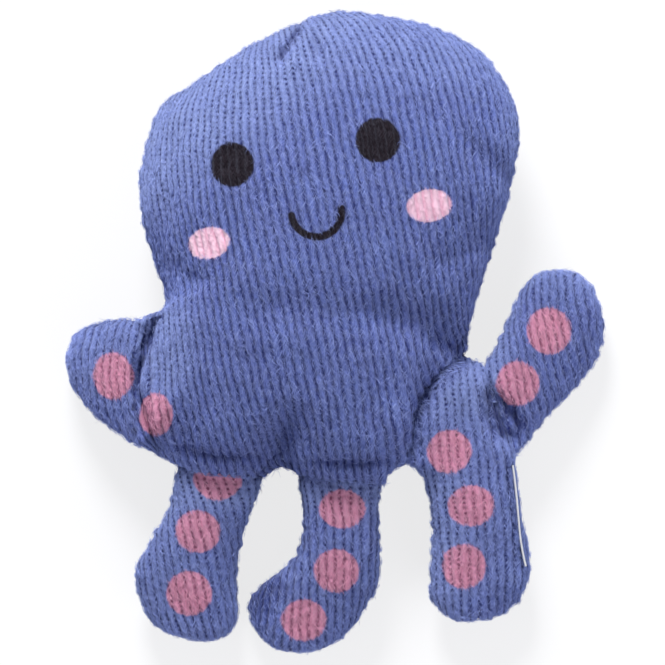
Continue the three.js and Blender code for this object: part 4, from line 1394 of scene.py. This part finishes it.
def labelPiece():
    # one tape folded in two, its cut ends in the seam of the right leg
    across, up = 60, 64
    line = smoothRun(label["line"], across + 1)
    seams = body["seam"] - dropOf(rightLeg, line)       # the label stands on the leg's seam
    direction = np.gradient(line, axis=0)
    direction /= np.linalg.norm(direction, axis=1)[:, None]
    away = np.column_stack([-direction[:, 1], direction[:, 0]])
    if away[len(away) // 2, 0] < 0:
        away = -away
    total = label["sunk"] + label["stands"]
    radius = label["apart"] / 2
    run = np.linspace(-(total + radius * math.pi / 2), total + radius * math.pi / 2, up + 1)
    points = []
    for layer in (0.5, -0.5):
        grid = np.zeros((across + 1, up + 1, 3))
        for k, s in enumerate(run):
            over = total + radius * math.pi / 2 - abs(s)      # length from the cut end
            if over <= total:
                height, off, turn = over, math.copysign(radius, s), 0.0
            else:
                bend = (over - total) / radius
                height = total + radius * math.sin(bend)
                off = math.copysign(radius * math.cos(bend), s)
                turn = bend
            off += math.copysign(layer * label["thickness"] * math.cos(turn), s) if s else 0
            height += layer * label["thickness"] * math.sin(turn)
            share = max(0, height - label["sunk"]) / label["stands"]
            wave = 0.12 * np.sin(np.linspace(0, 5, across + 1)) * share + label["lean"] * share
            pinch = 1 - 0.55 * math.exp(-((height - label["sunk"]) / 1.5) ** 2)
            grid[:, k, :2] = line + away * (off * pinch + wave)[:, None]
            grid[:, k, 2] = seams - label["sunk"] + height
        points.append(grid.reshape(-1, 3))
    wide = up + 1
    count = (across + 1) * wide
    outer = gridQuads(across, up)
    rim = list(range(up)) + [i * wide + up for i in range(across)]
    rim += [across * wide + k for k in range(up, 0, -1)] + [i * wide for i in range(across, 0, -1)]
    band = [[p, q, q + count, p + count] for p, q in zip(rim, rim[1:] + rim[:1])]
    faces = outer.tolist() + (outer[:, ::-1] + count).tolist() + [quad[::-1] for quad in band]
    mesh = newMesh("careLabel", np.vstack(points) * mm, faces)
    outwardFaces(mesh)
    cloth = np.zeros((count * 2, 3))
    cloth[:, 0] = np.tile(np.repeat(np.linspace(0, label["width"], across + 1), wide), 2)
    cloth[:, 1] = np.tile(run, (across + 1) * 2)
    layer = mesh.attributes.new("tapePoint", "FLOAT_VECTOR", "POINT")
    layer.data.foreach_set("vector", cloth.astype(np.float32).ravel())
    smoothFaces(mesh)
    mesh.set_sharp_from_angle(angle=math.radians(50))
    mesh.update()
    mesh.materials.append(tapeMaterial())
    return addObject("careLabel", mesh), label["width"] * mm, 2 * (total + radius * math.pi / 2) * mm


def tapeMaterial():
    material = bpy.data.materials.new("wovenSatinTape")
    tree = clearTree(material)
    tape = addNode(tree, "Attribute", {"attribute_name": "tapePoint"}, output="Vector")
    # satin threads, 0.25 mm apart where real ones are 0.1, so that they show
    threads = addNode(tree, "TexWave", {"Scale": 0.64, "Distortion": 0.6, "Detail": 2.0, "Vector": tape})
    drawn = addNode(tree, "VectorMath", times, tape, (3.0, 0.3, 1))
    streaks = addNode(tree, "TexNoise", {"Scale": 1.0, "Detail": 3.0, "Vector": drawn})
    tone = addNode(tree, "Mix", {"data_type": "RGBA", 6: hexColour(label["shade"]),
                                 7: hexColour(label["colour"])}, streaks, output=2)
    bump = addNode(tree, "Bump", {"Strength": 0.3, "Distance": 0.00005, "Height": threads})
    shader = addNode(tree, "BsdfPrincipled", {"Base Color": tone, "Normal": bump, "Roughness": 0.42,
                                              "Anisotropic": 0.4, "Sheen Weight": 0.1})
    addNode(tree, "OutputMaterial", {}, shader)
    return material


careLabel, tapeWidth, tapeLength = labelPiece()
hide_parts("care_label")
joinFrame(careLabel, rightLeg)
print("label made, tape", round(tapeLength / mm, 1), "mm long")

# floor, light and camera

stage = {
    "floor": "#eeeef0",
    "floorWhite": 0.78,         # how much of the floor that the camera sees is plain white
    "keyPlace": (-0.2, 1.07, 0.9),
    "keySize": 0.45,
    "keyPower": 24.5,
    "fillPlace": (0.7, -0.85, 0.6),
    "fillSize": 0.8,
    "fillPower": 4.2,
    "sky": "#eef1ff",
    "skyStrength": 0.5,
    "white": "#ffffff",
}

world = bpy.data.worlds.new("paleRoom")
bpy.context.scene.world = world
worldTree = clearTree(world)
skyLight = addNode(worldTree, "Background", {}, hexColour(stage["sky"]), stage["skyStrength"])
skySeen = addNode(worldTree, "Background", {}, hexColour(stage["white"]), 1.0)
seenRay = addNode(worldTree, "LightPath", {}, output="Is Camera Ray")
addNode(worldTree, "OutputWorld", {}, addNode(worldTree, "MixShader", {}, seenRay, skyLight, skySeen))


def makeFloor():
    # a wide sheet of matt card with softly lifted edges, so that it is a backdrop too
    count = 24
    line = np.linspace(-1.6, 1.6, count + 1)
    x, y = np.meshgrid(line, line)
    edge = np.maximum(np.maximum(np.abs(x), np.abs(y)) - 1.2, 0)
    points = np.column_stack([x.ravel(), y.ravel(), (edge ** 2).ravel() * 0.5])
    mesh = newMesh("floor", points, gridQuads(count, count).tolist())
    smoothFaces(mesh)
    material = bpy.data.materials.new("mattCard")
    tree = clearTree(material)
    grain = addNode(tree, "TexNoise", {"Scale": 900.0, "Detail": 2.0})
    bump = addNode(tree, "Bump", {"Strength": 0.05, "Distance": 0.0001, "Height": grain})
    card = addNode(tree, "BsdfDiffuse", {"Color": hexColour(stage["floor"]), "Normal": bump})
    glow = addNode(tree, "Emission", {}, hexColour(stage["white"]), 1.0)
    seen = addNode(tree, "MixShader", {}, stage["floorWhite"], card, glow)
    ray = addNode(tree, "LightPath", {}, output="Is Camera Ray")
    addNode(tree, "OutputMaterial", {}, addNode(tree, "MixShader", {}, ray, card, seen))
    mesh.materials.append(material)
    addObject("floor", mesh)


makeFloor()


def softLamp(name, place, size, power):
    lamp = bpy.data.lights.new(name, "AREA")
    lamp.shape = "DISK"
    lamp.size = size
    lamp.energy = power
    holder = addObject(name, lamp)
    holder.location = place
    holder.rotation_euler = (-Vector(place)).to_track_quat("-Z", "Y").to_euler()


softLamp("keyLamp", stage["keyPlace"], stage["keySize"], stage["keyPower"])
softLamp("fillLamp", stage["fillPlace"], stage["fillSize"], stage["fillPower"])

view = {
    "pixel": 0.241,             # millimetres of the toy's seam to a pixel of the picture
    "width": 665,
    "middle": (-0.63, 0.22),
    "distance": 2000,
    "sensor": 36,
}
camera = addObject("camera", bpy.data.cameras.new("camera"))
camera.location = (view["middle"][0] * mm, view["middle"][1] * mm, (view["distance"] + body["seam"]) * mm)
camera.data.sensor_width = view["sensor"]
camera.data.lens = view["sensor"] * view["distance"] / (view["pixel"] * view["width"])
camera.data.clip_end = 10
bpy.context.scene.camera = camera
bpy.context.scene.view_settings.view_transform = "Standard"
